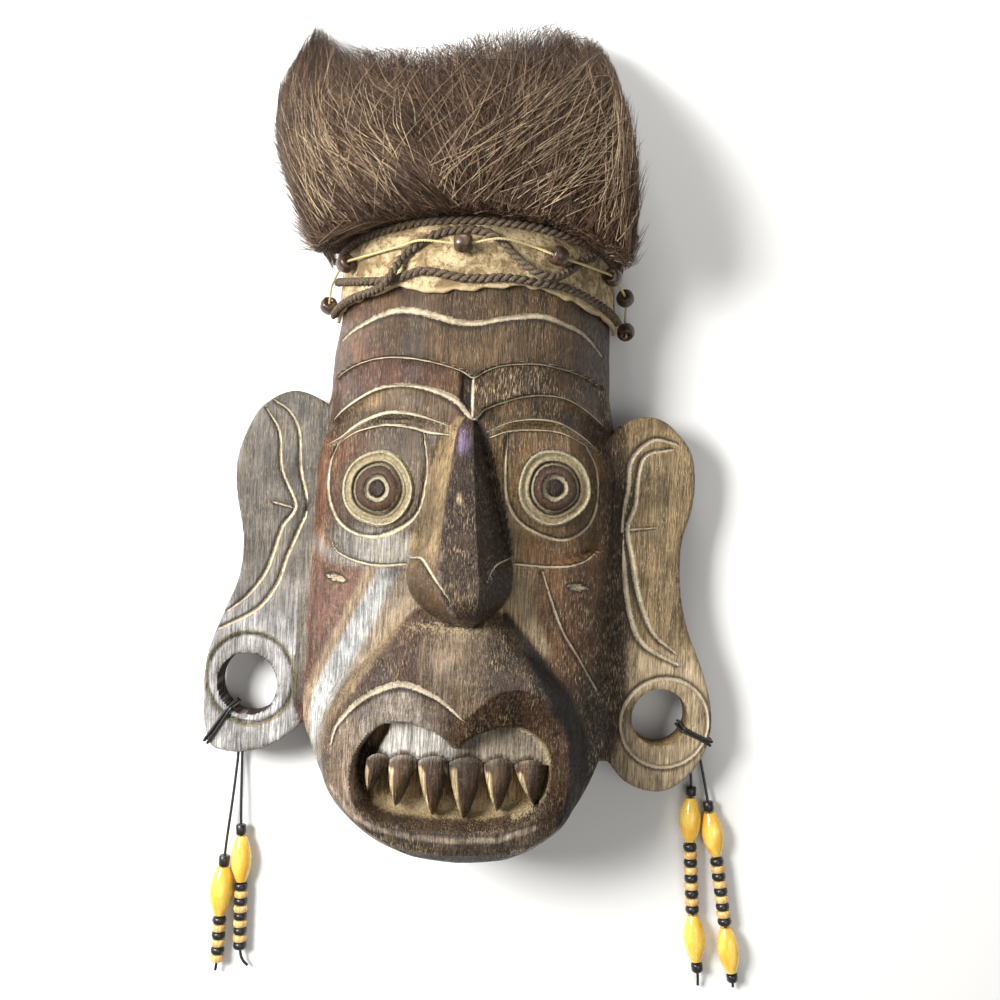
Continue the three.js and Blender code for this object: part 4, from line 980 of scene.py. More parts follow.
eyes = {
    "places": [(-46.3, -22.3), (45.6, -18.0)],
    "profile": [(0, 4.3), (3.4, 4.4), (4.0, 3.9), (4.4, 3.0), (5.2, 2.8), (6.0, 3.2), (6.6, 4.6), (7.2, 5.1),
                (8.2, 5.1), (10.0, 4.6), (11.6, 3.6), (12.3, 2.2), (12.7, 0.8), (13.1, 0.7), (13.5, 1.9),
                (14.0, 2.6), (14.7, 2.5), (15.3, 1.5), (16.2, 1.2), (17.2, 1.4), (17.9, 2.3), (18.5, 2.4),
                (18.9, 1.6), (19.3, -0.6), (19.3, -7), (0, -7)],
    "sides": 60,
}


def eyeSolid(x, y):
    bm = spinBody(eyes["profile"], eyes["sides"])
    for vert in bm.verts:
        angle = math.atan2(vert.co.y, vert.co.x)
        wobble = 1 + 0.018 * math.sin(3 * angle + x) + 0.012 * math.sin(5 * angle + 2 * x)   # as eyeRadius
        px = x + vert.co.x * wobble
        vert.co = (px, y + vert.co.y * wobble * 1.02, float(socketPlane(px)) + vert.co.z)
    return addObject("eye", meshFrom(bm, "eye"))


# Nose rows: y, left foot x, left wing x and z, ridge left and right x, ridge z, right wing x and z,
# right foot x

nose = {
    "rows": smoothLine([
        (18, -3, -2, 82, -0.5, 2, 82.5, 3, 82, 4), (13, -8, -6, 82, -3.5, 2.4, 86.5, 5, 82, 7),
        (6, -13, -10, 83, -5.8, 2.8, 91, 8, 83, 10), (-18, -20, -17, 79, -8.4, 4.6, 99, 14, 79, 17),
        (-40, -25, -22, 79, -10, 6.6, 108, 20, 79, 22.5), (-54, -28, -25, 80, -11, 8, 113.5, 23, 80, 25.5),
        (-60, -28.5, -26.5, 90, -11.4, 8.6, 115.5, 25, 90, 27),
        (-68, -28, -26, 95, -10, 9.4, 117.5, 24.6, 95, 26.5),
        (-76, -24.5, -22.5, 95.5, -7, 9, 117.5, 22, 95.5, 24),
        (-83, -17.5, -15.5, 94, -3, 8, 112, 16, 94, 18), (-88.5, -8, -6, 91, 1, 6, 100, 9, 91, 11)], 6),
    "foot": 55.0, "shoulder": 0.5, "shoulderDrop": 0.4,
}


def noseSolid():
    rows = []
    for y, footL, wingL, wingLZ, ridgeL, ridgeR, ridgeZ, wingR, wingRZ, footR in nose["rows"]:
        shoulder = (ridgeR + (wingR - ridgeR) * nose["shoulder"],
                    ridgeZ - (ridgeZ - wingRZ) * nose["shoulderDrop"])
        corners = [(footL, nose["foot"]), (footL, wingLZ - 6), (wingL, wingLZ), (ridgeL, ridgeZ),
                   ((ridgeL + ridgeR) / 2, ridgeZ + 0.7), (ridgeR, ridgeZ), shoulder, (wingR, wingRZ),
                   (footR, wingRZ - 6), (footR, nose["foot"])]
        splits = [6, 4, 14, 6, 6, 6, 12, 4, 6]
        section = []
        for (ax, az), (bx, bz), count in zip(corners, corners[1:], splits):
            t = np.linspace(0, 1, count, endpoint=False)
            section += [(ax + (bx - ax) * share, y, az + (bz - az) * share) for share in t]
        section.append((corners[-1][0], y, corners[-1][1]))
        section.append(section[0])
        rows.append(section)
    points = np.array(rows)
    x, y, z = points[..., 0], points[..., 1], points[..., 2]
    lobe = cut("wingLeft", x, y, 2.2, 2.0) + cut("wingRight", x, y, 1.6, 1.8)
    points[..., 2] = z - lobe * (z > 70) + 0.3 * softNoise(x, y, z, 7, 9) * (z > 70)
    return addObject("nose", meshFrom(wrapGrid(points), "nose"))


# Fangs: left edge, right edge, tip x, tip y

fangs = {
    "places": [(-44.5, -33.0, -43, -177.5), (-33.0, -18.4, -29, -184.5), (-18.4, -2.5, -10, -188.5),
               (-2.5, 15.3, 6.2, -189.5), (15.3, 30.6, 23.1, -185), (30.6, 45.5, 42, -181)],
    "topY": -160.0, "height": 86.0, "bulge": 3.2, "tipDrop": 5.5, "flank": 5.5, "root": 5.0, "arch": 3.6,
    "taper": 0.84, "taperPower": 1.35, "ridge": -0.18,
}


def fangHalf(left, right, share):
    return (right - left) / 2 * (1 - fangs["taper"] * share ** fangs["taperPower"])


def fangRow(left, right, tipX, tipY, share, across):
    # place in plan of a spot on a fang, by shares down its length and across its width
    middle = (left + right) / 2 + (tipX - (left + right) / 2) * share
    y = fangs["topY"] + (tipY - fangs["topY"]) * share + fangs["arch"] * (1 - across ** 2) * (1 - share) ** 4
    return middle + fangHalf(left, right, share) * across, y


def fangSolid(left, right, tipX, tipY):
    rows = []
    for share in np.linspace(0, 1, 15):
        low = relief["floorHeight"] - fangs["root"]
        front = fangs["height"] + fangs["bulge"] * math.sin(math.pi * share) - fangs["tipDrop"] * share
        front -= 1.2 * (1 - share) ** 8 + 3.0 * share ** 12
        section = []
        for across in np.linspace(-1, 1, 13):
            x, y = fangRow(left, right, tipX, tipY, share, across)
            fall = abs(across - fangs["ridge"]) / (1 + abs(fangs["ridge"]))
            section.append((x, y, front - fangs["flank"] * (0.35 * fall + 0.65 * fall ** 2.4)))
        section.insert(0, (section[0][0], section[0][1], low))
        section.append((section[-1][0], section[-1][1], low))
        section.append(section[0])
        rows.append(section)
    return addObject("fang", meshFrom(wrapGrid(np.array(rows)), "fang"))


def fangOutline(fang):
    across = np.linspace(-1, 1, 9)
    down = np.linspace(0, 1, 8)[1:]
    top = [fangRow(*fang, 0, t) for t in across]
    right = [fangRow(*fang, share, 1) for share in down]
    left = [fangRow(*fang, share, -1) for share in down[::-1]]
    return np.array(top + right + left)


# Ears: flat slabs that lean back, with a big hole in the lobe

earSlab = {"thickness": 19.2, "frontZ": 36.0, "rootX": 82.0, "lean": math.tan(math.radians(9)),
           "inside": 73.0, "spacing": 1.15, "round": 2.2, "ringHalfWidth": 1.7, "lineHalfWidth": 1.5}
ears = {
    "left": {
        "outline": [(-74, 20), (-80, 23.7), (-86, 27), (-93, 29.6), (-101, 29.9), (-111, 25.6),
                    (-120.8, 16), (-129.1, -5), (-129.7, -24.6), (-124.5, -52), (-126, -74.3),
                    (-133.1, -92.7), (-142.5, -119.7), (-143.4, -148), (-139.9, -166), (-133.9, -171.2),
                    (-118, -171.3), (-101.2, -165.1), (-86.1, -153)],
        "hole": (-118.7, -133.5, 17.3), "ring": (-117, -130.2, 24.6),
        "lines": [[(-109.8, 24.5), (-100.9, 18.7), (-94.8, 7.3), (-92.9, -13.4), (-88, -33.3)],
                  [(-88, -33.3), (-92.4, -46.2), (-98.7, -61.8), (-103.7, -77.2), (-114.5, -91.7),
                   (-136, -104)],
                  [(-113.8, 19.4), (-106.1, 6.9), (-103.7, -13.8), (-95, -33.4)],
                  [(-95, -33.4), (-102.3, -45.6), (-106.8, -60.8), (-111.1, -72.1), (-120.6, -84.8),
                   (-131.8, -93.8)],
                  [(-107.2, -32), (-97.8, -34.3)]],
        "cordAngle": -123.0,
    },
    "right": {
        "outline": [(76, 11), (81, 17.3), (88, 21.8), (98.3, 24), (106, 22.3), (112.8, 17.6), (122.6, 5.9),
                    (125.6, -9.6), (124.5, -26.3), (119.5, -46), (120, -71), (125, -93), (133.2, -112.4),
                    (138.8, -129.1), (141, -143), (139.5, -157), (131.5, -172.1), (120, -181.6),
                    (107.5, -183.3), (93.2, -177.8), (83.2, -166.9)],
        "hole": (111.4, -142.3, 15.9), "ring": (114.1, -145, 24.6),
        "lines": [[(113.7, 9.6), (100.6, 11.2), (89.2, -0.2), (87.8, -17.6), (85, -37.9)],
                  [(85, -37.9), (87.4, -59.3), (91.2, -82.4), (99.3, -100.9), (119.1, -112.1)],
                  [(111, 6.4), (97, 2.4), (93.3, -10.2), (92.6, -24.7), (88.6, -37.8)],
                  [(88.6, -37.8), (91.6, -53.6), (97, -76.7), (105.3, -95.2), (117.7, -105.5)],
                  [(88.9, -38.8), (103.9, -37.1)]],
        "cordAngle": -25.0,
    },
}


def earTop(x):
    return earSlab["frontZ"] - earSlab["lean"] * (np.abs(x) - earSlab["rootX"])


def earOutline(ear):
    # the outer edge and the root inside the head
    rootX = earSlab["inside"] if ear["outline"][0][0] > 0 else -earSlab["inside"]
    edge = smoothLine(ear["outline"], 7)
    root = [(rootX, ear["outline"][-1][1]), (rootX, ear["outline"][0][1])]
    return edge, np.vstack([edge, root])


def earCuts(ear, x, y):
    # how deep the carved lines lie at a place, from 0 to 1
    holeX, holeY, ringRadius = ear["ring"]
    depth = ease(1 - np.abs(np.hypot(x - holeX, y - holeY) - ringRadius) / earSlab["ringHalfWidth"])
    for line in ear["lines"]:
        depth = np.maximum(depth, ease(1 - distanceTo(smoothLine(line, 5), x, y) / earSlab["lineHalfWidth"]))
    return depth


def roundedRim(gap):
    # how far a surface falls at a gap from its edge
    inside = np.clip(gap, 0, earSlab["round"])
    return earSlab["round"] - np.sqrt(earSlab["round"] ** 2 - (earSlab["round"] - inside) ** 2)


def earSolid(side):
    ear = ears[side]
    edge, outline = earOutline(ear)
    low, high = outline.min(axis=0) - 2, outline.max(axis=0) + 2
    xs = np.linspace(low[0], high[0], int((high[0] - low[0]) / earSlab["spacing"]))
    ys = np.linspace(low[1], high[1], int((high[1] - low[1]) / earSlab["spacing"]))
    x, y = np.meshgrid(xs, ys)
    z = earTop(x) - relief["lineDepth"] * earCuts(ear, x, y)
    holeX, holeY, radius = ear["hole"]
    rim = np.minimum(np.where(insideOf(outline, x, y) > 0, distanceTo(edge, x, y), 0),
                     np.abs(np.hypot(x - holeX, y - holeY) - radius))
    z = z - roundedRim(rim) + 0.35 * softNoise(x, y, z, 11, 11)
    bm = sheetGrid(np.stack([x, y, z], axis=2))
    rims = [item for item in bm.edges if item.is_boundary]
    grown = bmesh.ops.extrude_edge_only(bm, edges=rims)
    for item in grown["geom"]:
        if isinstance(item, bmesh.types.BMVert):
            item.co.z = float(earTop(item.co.x)) - earSlab["thickness"]
    closeSheet(bm)
    slab = addObject("ear", meshFrom(bm, "ear"))
    combine(slab, addObject("outline", meshFrom(prism(outline, -20, 80), "outline")), "INTERSECT")
    hole = bmesh.new()
    bmesh.ops.create_cone(hole, cap_ends=True, segments=72, radius1=radius, radius2=radius, depth=120)
    bmesh.ops.translate(hole, vec=(holeX, holeY, 20), verts=hole.verts)
    combine(slab, addObject("hole", meshFrom(hole, "hole")), "DIFFERENCE")
    return slab


# The hollow back, left plain with shallow gouge marks

hollow = {"halfWidth": 70.0, "height": 62.0, "fromY": -198.0, "toY": 106.0, "squareness": 3.0}


def hollowSolid():
    bm = bmesh.new()
    bmesh.ops.create_uvsphere(bm, u_segments=72, v_segments=56, radius=1)
    bmesh.ops.rotate(bm, cent=(0, 0, 0), verts=bm.verts, matrix=Matrix.Rotation(math.pi / 2, 3, "X"))
    middle = (hollow["fromY"] + hollow["toY"]) / 2
    reach = (hollow["toY"] - hollow["fromY"]) / 2
    for vert in bm.verts:
        sx, sy, sz = vert.co
        share = max(0.02, (1 - min(1, abs(sy)) ** hollow["squareness"]) ** 0.5)
        across = max(math.hypot(sx, sz), 1e-6)
        gouge = 1 - 0.012 * abs(math.sin(sy * 34 + 2 * math.atan2(sz, sx)))
        vert.co = (hollow["halfWidth"] * share * sx / across * gouge, middle + reach * sy,
                   hollow["height"] * share * sz / across * gouge)
    bmesh.ops.remove_doubles(bm, verts=bm.verts, dist=1e-4)
    bmesh.ops.recalc_face_normals(bm, faces=bm.faces)
    return addObject("hollow", meshFrom(bm, "hollow"))


# Stains of the wood over the face, with painted shade and highlights, each a soft patch: colour, middle, half
# sizes, strength

stainsAndPaintedLight = {
    "plain": "4a372a",
    "forehead": [("5e4535", (-62, 62), (22, 26), 0.9), ("564635", (-18, 66), (34, 22), 0.8),
                 ("57452f", (30, 66), (26, 30), 0.8), ("3c2d20", (72, 60), (14, 40), 0.9),
                 ("6b5b45", (2, 50), (20, 8), 0.7)],
    "browBand": [("4d342b", (-40, 34), (40, 14), 1.0), ("4b3a25", (40, 34), (44, 16), 1.0),
                 # the last patch is painted shadow on the short facet in the cleft between the brow bands
                 ("2a1a12", (-1.8, 28), (3.4, 16), 1.0)],
    "lidBand": [("9a8a6e", (-50, 26), (34, 7), 0.65), ("6a6056", (-22, 24), (20, 10), 0.9),
                ("6c5a42", (30, 24), (30, 6), 0.8), ("42331f", (40, 16), (40, 7), 0.8),
                ("5a4a3c", (-46, 14), (34, 5), 0.7)],
    "socket": [("51483d", (-36, -6), (34, 40), 0.9), ("5c3d2c", (-66, 2), (12, 14), 0.9),
               ("64502f", (46, -16), (34, 40), 0.9), ("6b563c", (46, 4), (30, 10), 0.8)],
    "face": [("694733", (-80, -20), (9, 70), 0.9), ("62432f", (-86, -100), (9, 60), 0.8),
             # the pale grey patch under the left eye is a painted highlight
             ("94989a", (-50, -53), (30, 9), 0.9), ("785a3c", (46, -53), (30, 8), 0.7),
             ("857a68", (20, -50), (8, 20), 0.7),
             ("a8977c", (28, -84), (12, 26), 0.8), ("846446", (48, -88), (10, 30), 0.8),
             ("573b28", (64, -92), (12, 34), 0.9),
             ("7d6c50", (-8, -90), (30, 7), 0.6), ("5e4c3a", (-72, -170), (14, 30), 0.7),
             # the dark patch low on the right at (74, -160) and the one under the chin are painted shade
             ("584a3f", (-70, -190), (16, 24), 0.8), ("33251b", (74, -160), (14, 44), 0.9),
             ("3c2e24", (0, -208), (60, 16), 0.9)],
    # painted shade down the right side of the head
    "sides": [("130d09", (90, -30), (13, 150), 0.95), ("130d09", (76, -165), (12, 60), 0.95)],
    "cheekOuter": "69504c", "cheekRidge": "8d8172", "cheekInnerGlare": "a0aab5", "cheekBeside": "837b6f",
    "muzzle": [("5e5046", (-62, -188), (16, 22), 0.85), ("3b2c27", (-32, -106), (22, 16), 0.95),
               ("857a6c", (2, -108), (17, 18), 0.9),
               ("3a2f29", (30, -116), (20, 22), 0.9), ("5e5248", (2, -128), (14, 8), 0.7),
               # the last two patches are painted shade on the muzzle's right flank
               ("140e0a", (50, -112), (11, 26), 0.95), ("1a120d", (63, -160), (7, 44), 0.95)],
    "lip": [("a8a5a5", (-42, -140), (28, 22), 1.0), ("8f847c", (-56, -166), (10, 30), 0.9),
            ("35251a", (38, -136), (34, 18), 1.0), ("3c2b1e", (56, -164), (12, 30), 0.9),
            ("4b443f", (0, -200), (56, 12), 0.9)],
    "noseRidge": "332823", "noseLitFacet": "887a60", "noseShadedFacet": "1a100a", "noseTip": "46321f",
    "gumLeft": "b4bac0", "gumRight": "8d8981", "floor": "a08c68", "fang": "4d3f33", "fangLitFlank": "cfc3a4",
    "leftEar": "666665", "leftEarLow": "adb5c1", "rightEar": "86795f", "rightEarLow": "b3a892",
    "rightEarRootShade": "3f3226",
    "back": "4a3527", "purple": "6d6284", "ochre": "b3a68f", "paintedShade": "1e150f", "holeTan": "c4ac82",
}


# lines that shade and light follow, on the muzzle and beside it
lightLines = {
    "flank": np.array([(23, -84), (34, -98), (44, -112), (54, -127), (63, -146), (65, -168), (58, -188)]),
    "beside": np.array([(27, -64), (31, -74), (37, -88), (44, -103)]),
    "sheen": np.array([(-61, -174), (-52, -187), (-39, -194.5), (-20, -198), (0, -199), (24, -198),
                       (42, -191)]),
}


def paintOver(base, colour, amount):
    amount = np.broadcast_to(np.clip(amount, 0, 1), base.shape[:1])
    return base + (np.array(sRgb(colour)) - base) * amount[:, None]


def softSpot(x, y, middle, sizes):
    return ease(1.6 - np.hypot((x - middle[0]) / sizes[0], (y - middle[1]) / sizes[1]))


def paintRegion(tint, name, x, y, mask):
    for colour, middle, sizes, strength in stainsAndPaintedLight[name]:
        tint = paintOver(tint, colour, strength * softSpot(x, y, middle, sizes) * mask)
    return tint


def eyeRadius(x, y, eyeX, eyeY):
    # distance from the middle of an eye whose rings are a little uneven
    dx, dy = x - eyeX, (y - eyeY) / 1.02
    angle = np.arctan2(dy, dx)
    wobble = 1 + 0.018 * np.sin(3 * angle + eyeX) + 0.012 * np.sin(5 * angle + 2 * eyeX)
    return np.hypot(dx, dy) / wobble * 0.965


def addValue(mesh, name, values):
    mesh.attributes.new(name, "FLOAT", "POINT").data.foreach_set("value", np.asarray(values, np.float32))


def nickGap(x, y):
    # distance from the edge of the nearest cheek nick, below nought inside it
    gap = np.full(x.shape, 9.0)
    for nickX, nickY in nicks:
        far = np.abs(x - nickX) / nickSize["drawnReach"]
        halfWidth = nickSize["drawnHalf"] * np.clip(1 - far ** 2, 0, 1)
        across = np.abs(y - nickY + 0.12 * (x - nickX)) - halfWidth
        gap = np.minimum(gap, np.maximum(across, (far - 1) * 6))
    return gap


def drawLines(mesh, x, y, z):
    # signed distances from the carved lines, for the finish to draw them sharply
    near = np.full(x.shape, 9.0)
    onFace = (np.abs(x) < 92) & (z > 40)
    sets = {}
    for group, members in strokes.items():
        sets[group] = np.full(x.shape, 6.0)
        for name, sign, widths in members:
            value, gap = sideOf(lines[name], x, y, widths)
            if name not in ("wingLeft", "wingRight"):
                gap = np.where(onNoseTop(x, y, z), 9, gap)
            gap = np.where(onFace, gap * (1 - 1 / np.maximum(np.abs(value), 0.2)), 9)
            sets[group] = np.where(np.abs(value) < np.abs(sets[group]), sign * value, sets[group])
            near = np.minimum(near, gap)
    value = np.clip(nickGap(x, y), 0, 6) / 0.6 + 0.88
    sets["cutB"] = np.where(value < np.abs(sets["cutB"]), value, sets["cutB"])
    near = np.minimum(near, np.where(onFace, value * 0.6 - 0.6, 9))
    for side, sign in (("left", -1), ("right", 1)):
        ear = ears[side]
        onEar = ((x - headMiddle(y)) * sign > headHalfWidth(y) - 1) & (z < 42) & (z > earTop(x) - 5)
        outer, inner = [smoothLine(np.vstack([ear["lines"][k], ear["lines"][k + 1][1:]]), 5) for k in (0, 2)]
        ringX, ringY, ringRadius = ear["ring"]
        ring = np.hypot(x - ringX, y - ringY) - ringRadius
        nick = smoothLine(ear["lines"][4], 3)
        broad = 1.0 if side == "left" else 1.4
        ringValue = np.clip(ring / (0.75 * broad), -6, 6)
        if side == "left":
            # the left ring is drawn as painted shade alone, without a pale line
            ringValue = np.minimum(1.35 + np.abs(ring) / 0.7, 6)
        outerWidths = broad * np.array([0.5, 0.9, 0.8, 1.0, 1.0, 0.7])
        innerWidths = broad * np.array([0.5, 0.8, 0.8, 1, 0.9, 0.5])
        for group, (value, gap) in (("cutA", sideOf(outer, x, y, outerWidths)),
                                    ("cutB", sideOf(inner, x, y, innerWidths)),
                                    ("cutA", (ringValue, np.abs(ring))),
                                    ("cutC", sideOf(nick, x, y, (0.7, 0.6, 0.4)))):
            value = np.where(onEar, value, 6)
            gap = gap * (1 - 1 / np.maximum(np.abs(value), 0.2))
            sets[group] = np.where(np.abs(value) < np.abs(sets[group]), value, sets[group])
            near = np.minimum(near, np.where(onEar, gap, 9))
    for group, values in sets.items():
        addValue(mesh, group, values)
    addValue(mesh, "nearLine", near)


def noseEdges(y):
    rows = nose["rows"][::-1]
    return [np.interp(y, rows[:, 0], rows[:, column]) for column in (1, 3, 4, 5, 9)]


def onNoseTop(x, y, z):
    footL, wingLZ, _, _, footR = noseEdges(y)
    return (y < 16) & (y > -90) & (x > footL - 0.3) & (x < footR + 0.3) & (z > wingLZ - 3)


def woodTints(mesh):
    count = len(mesh.vertices)
    places = np.zeros(count * 3)
    mesh.vertices.foreach_get("co", places)
    normals = np.zeros(count * 3)
    mesh.vertices.foreach_get("normal", normals)
    x, y, z = places.reshape(-1, 3).T
    nz = normals.reshape(-1, 3)[:, 2]
    underBrow, underLid, underLedge = [underLine(name, x, y) for name in ("brow", "lid", "ledge")]
    inBrow, inLid, inLedge = [ease(gap / 1.2 + 0.5) for gap in (underBrow, underLid, underLedge)]
    inLip, inMouth = insideOf(outlines["lip"], x, y), insideOf(outlines["mouth"], x, y)
    ridgeL, ridgeR, footR = noseEdges(y)[2:]
    onMuzzle = ease((muzzleTop(x, y) - headFront(x, y) + 1) / 2) * (y < -72)
    onMuzzle = onMuzzle * ease((0.525 - np.abs(muzzleShare(x, y))) / 0.02)
    tint = np.tile(np.array(sRgb(stainsAndPaintedLight["plain"])), (count, 1))
    tint = paintRegion(tint, "forehead", x, y, 1 - inBrow)
    tint = paintRegion(tint, "browBand", x, y, inBrow * (1 - inLid))
    tint = paintRegion(tint, "lidBand", x, y, inLid * (1 - inLedge))
    tint = paintRegion(tint, "socket", x, y, inLedge * (y > -50))
    tint = paintRegion(tint, "face", x, y, ease((14 - y) / 10) * (1 - onMuzzle))
    # the right side of the head is painted near black as painted shade
    tint = paintRegion(tint, "sides", x, y, 1)
    # the left cheek's two planes and the edge between them; the inner plane is painted pale as a painted
    # highlight
    ridge = np.interp(y, lines["creaseLeft"][::-1, 1], lines["creaseLeft"][::-1, 0])
    cheek = ease((-62 - y) / 3) * ease((y + 176) / 20) * (x < -10) * (1 - onMuzzle)
    tint = paintOver(tint, stainsAndPaintedLight["cheekBeside"], cheek * ease((x - ridge - 1) / 3))
    pale = ease((x - ridge - 1) / 3) * (1 - ease((x - ridge - 13 + 0.05 * (y + 100)) / 6))
    tint = paintOver(tint, stainsAndPaintedLight["cheekInnerGlare"], cheek * pale)
    tint = paintOver(tint, stainsAndPaintedLight["cheekOuter"], 0.8 * cheek * ease((ridge - 1 - x) / 3))
    tint = paintOver(tint, stainsAndPaintedLight["cheekRidge"], 0.85 * cheek * ease(1.4 - np.abs(x - ridge) / 3.4))
    tint = paintRegion(tint, "muzzle", x, y, onMuzzle)
    tint = paintRegion(tint, "lip", x, y, ease(inLip / 1.2 + 0.5))
    # painted shade on the underside of the chin
    under = ease((-200 - y) / 10) * ease((0.85 - nz) / 0.35)
    tint = paintOver(tint, "1d1510", under)
    dull = 0.3 * under + 0.18 * ease((y - 4) / 6) + 0.1 * (x < -10) * inLedge * ease((y + 44) / 8)
    # the deep shade beside the muzzle, a painted sheen on the cheek beside it, and light caught on the lower
    # lip
    shadeWidth = np.interp(-y, [84, 112, 132], [1.8, 3.6, 5.2])
    shaded = ease(1.6 - distanceTo(lightLines["flank"], x, y) / shadeWidth) * (z > 36)
    pale = ease(1.5 - distanceTo(lightLines["beside"], x, y) / 3.2) * (1 - onMuzzle) * (x > footR)
    tint = paintOver(tint, "aca492", 0.6 * pale * (1 - shaded))
    tint = paintOver(tint, "0b0705", 0.93 * shaded)
    dull = dull + 0.35 * shaded + 0.3 * ease((x - 78) / 6)
    patchy = 0.5 + 0.5 * ease(0.6 + softNoise(x, y, 0 * z, 2.2, 21))
    caught = ease(1.5 - distanceTo(lightLines["sheen"], x, y) / 1.4) * patchy
    tint = paintOver(tint, "b4afa8", 0.7 * caught * (z > 50))
    tint = paintOver(tint, "7a6b55", ease(0.5 - nickGap(x, y) / 0.4) * (z > 50))
    flecks = 0.4 - 0.12 * (y > 32) + 0.45 * inBrow * (1 - inLid) * (x > 2) + 0.1 * onMuzzle
    flecks = flecks + 0.4 * (y < -60) * (x > 2) * (1 - onMuzzle)
    flecks = np.clip(flecks, 0, 0.95)
    flecks = flecks * (1 - 0.3 * ease((x - 30) / 10) * onMuzzle) * (1 - shaded)
    # dust that lies in hollows: under the nose, round the eyes and in the mouth, and painted light on the
    # mouth's right wall
    dustAndPaintedLight = 0.5 * softSpot(x, y, (-3, -91), (22, 2.8)) * (z < 96)
    dustAndPaintedLight = np.maximum(dustAndPaintedLight, 0.35 * ease(1.5 - distanceTo(lines["ledge"], x, y) / 2.5) * inLedge)
    tint = paintOver(tint, "83755f", 0.7 * ease(1.5 - distanceTo(lines["muzzleLeft"], x, y) / 2.6) * (x < 0))
    tint = paintOver(tint, "86623f", 0.6 * ease(1.5 - distanceTo(lines["frameLeft"], x, y) / 1.6) * (z > 42))
    # nose: its left facet is painted light and its right facet near black as painted shade
    onNose = onNoseTop(x, y, z)
    leftFace = onNose * ease((ridgeL - x) / 0.8 + 0.5)
    tint = paintOver(tint, stainsAndPaintedLight["noseLitFacet"], leftFace)
    tint = paintOver(tint, stainsAndPaintedLight["noseTip"], leftFace * ease((-50 - y) / 14) * 0.9)
    tint = paintOver(tint, stainsAndPaintedLight["noseShadedFacet"], onNose * ease((x - ridgeR) / 0.8 + 0.5))
    tint = paintOver(tint, stainsAndPaintedLight["noseRidge"],
                     onNose * ease((x - ridgeL) / 0.8 + 0.5) * ease((ridgeR - x) / 0.8 + 0.5))
    # painted shade under the tip of the nose
    tint = paintOver(tint, "2a1c15", onNose * ease((-79 - y) / 4) * 0.9)
    crackle = 0.35 + 0.75 * (softNoise(x, y, z, 1.6, 5) > -0.1)
    tint = paintOver(tint, stainsAndPaintedLight["purple"], crackle * softSpot(x, y, (-1.8, 3.4), (3.0, 6.5)) * onNose)
    glint = ease(1.2 - np.abs(x - ridgeL - 1.2) / 1.4) * ease((-28 - y) / 10)
    glint = glint * ease(softNoise(x, y / 5, z, 1.6, 8) * 2)
    tint = paintOver(tint, "8f8a88", 0.6 * glint * onNose)
    tint = paintOver(tint, stainsAndPaintedLight["ochre"], 1.4 * softSpot(x, y, (-2.5, -25), (0.8, 1.5)) * onNose)
    flecks = np.where(onNose, 0.25 + 0.3 * ease((-14 - y) / 20) * (x > ridgeL) * (x < ridgeR), flecks)
    dustAndPaintedLight = np.where(onNose, 0, dustAndPaintedLight)
    # mouth
    gum = ease((inMouth - 0.5) / 1.2) * (y > relief["gumLineY"] - 1) * (z > relief["floorHeight"] + 6)
    tint = paintOver(tint, stainsAndPaintedLight["gumLeft"], gum * (x < 1))
    tint = paintOver(tint, stainsAndPaintedLight["gumRight"], gum * (x >= 1))
    inside = ease((inMouth + 1) / 2) * ease((relief["floorHeight"] + 8 - z) / 4)
    tint = paintOver(tint, stainsAndPaintedLight["floor"], inside)
    # painted shade in the mouth's left corner
    tint = paintOver(tint, stainsAndPaintedLight["paintedShade"], inside * ease((-40 - x) / 4) * 0.85)
    dustAndPaintedLight = np.maximum(dustAndPaintedLight, inside * (0.1 + 0.62 * ease((-178 - y) / 7)) * (x > -42))
    bevel = ease((inMouth + 3) / 2) * (z > relief["floorHeight"] + 8) * ease((-178 - y) / 5)
    tint = paintOver(tint, "3d2f26", 0.8 * bevel)
    dull = dull - 0.1 * bevel
    # the mouth's right inner wall is painted pale as painted light, along with the dust
    dustAndPaintedLight = np.maximum(dustAndPaintedLight, 0.6 * ease(1.5 - np.abs(inMouth - 1.5) / 1.6) * (x > 30) * (z < 90))
    dustAndPaintedLight = np.maximum(dustAndPaintedLight, 0.75 * inside * ease((x - 37) / 4))
    edge = np.full(count, -9.0)
    aside = np.zeros(count)
    for fang in fangs["places"]:
        edge = np.maximum(edge, insideOf(fangOutline(fang), x, y))
        left, right, tipX, tipY = fang
        share = np.clip((fangs["topY"] - y) / (fangs["topY"] - tipY), 0, 1)
        middle = (left + right) / 2 + (tipX - (left + right) / 2) * share
        across = (x - middle) / fangHalf(left, right, share)
        aside = np.where(np.abs(across) < 1.3, across, aside)
    onFang = ease((edge + 0.3) / 0.6) * (z > relief["floorHeight"] + 4) * (inMouth > 0)
    tint = paintOver(tint, stainsAndPaintedLight["fang"], onFang)
    # each fang's left flank is painted pale as painted light, its right side dark as painted shade
    tint = paintOver(tint, stainsAndPaintedLight["fangLitFlank"], onFang * ease((-aside - 0.5) / 0.15) * (y < -163) * 0.8)
    tint = paintOver(tint, stainsAndPaintedLight["paintedShade"], onFang * ease((aside - 0.55) / 0.2) * 0.75)
    # a painted shadow along the arched top of each fang
    arch = ease(1 - np.abs(edge + 0.7) / 1.1) * (y > relief["gumLineY"] - 2) * (inMouth > 0)
    tint = paintOver(tint, stainsAndPaintedLight["paintedShade"], arch * 0.85)
    flecks = np.where(onFang > 0.5, 0.05, flecks)
    dull = np.where(onFang > 0.5, -0.1, dull)
    dustAndPaintedLight = np.where(onFang > 0.5, 0, dustAndPaintedLight)
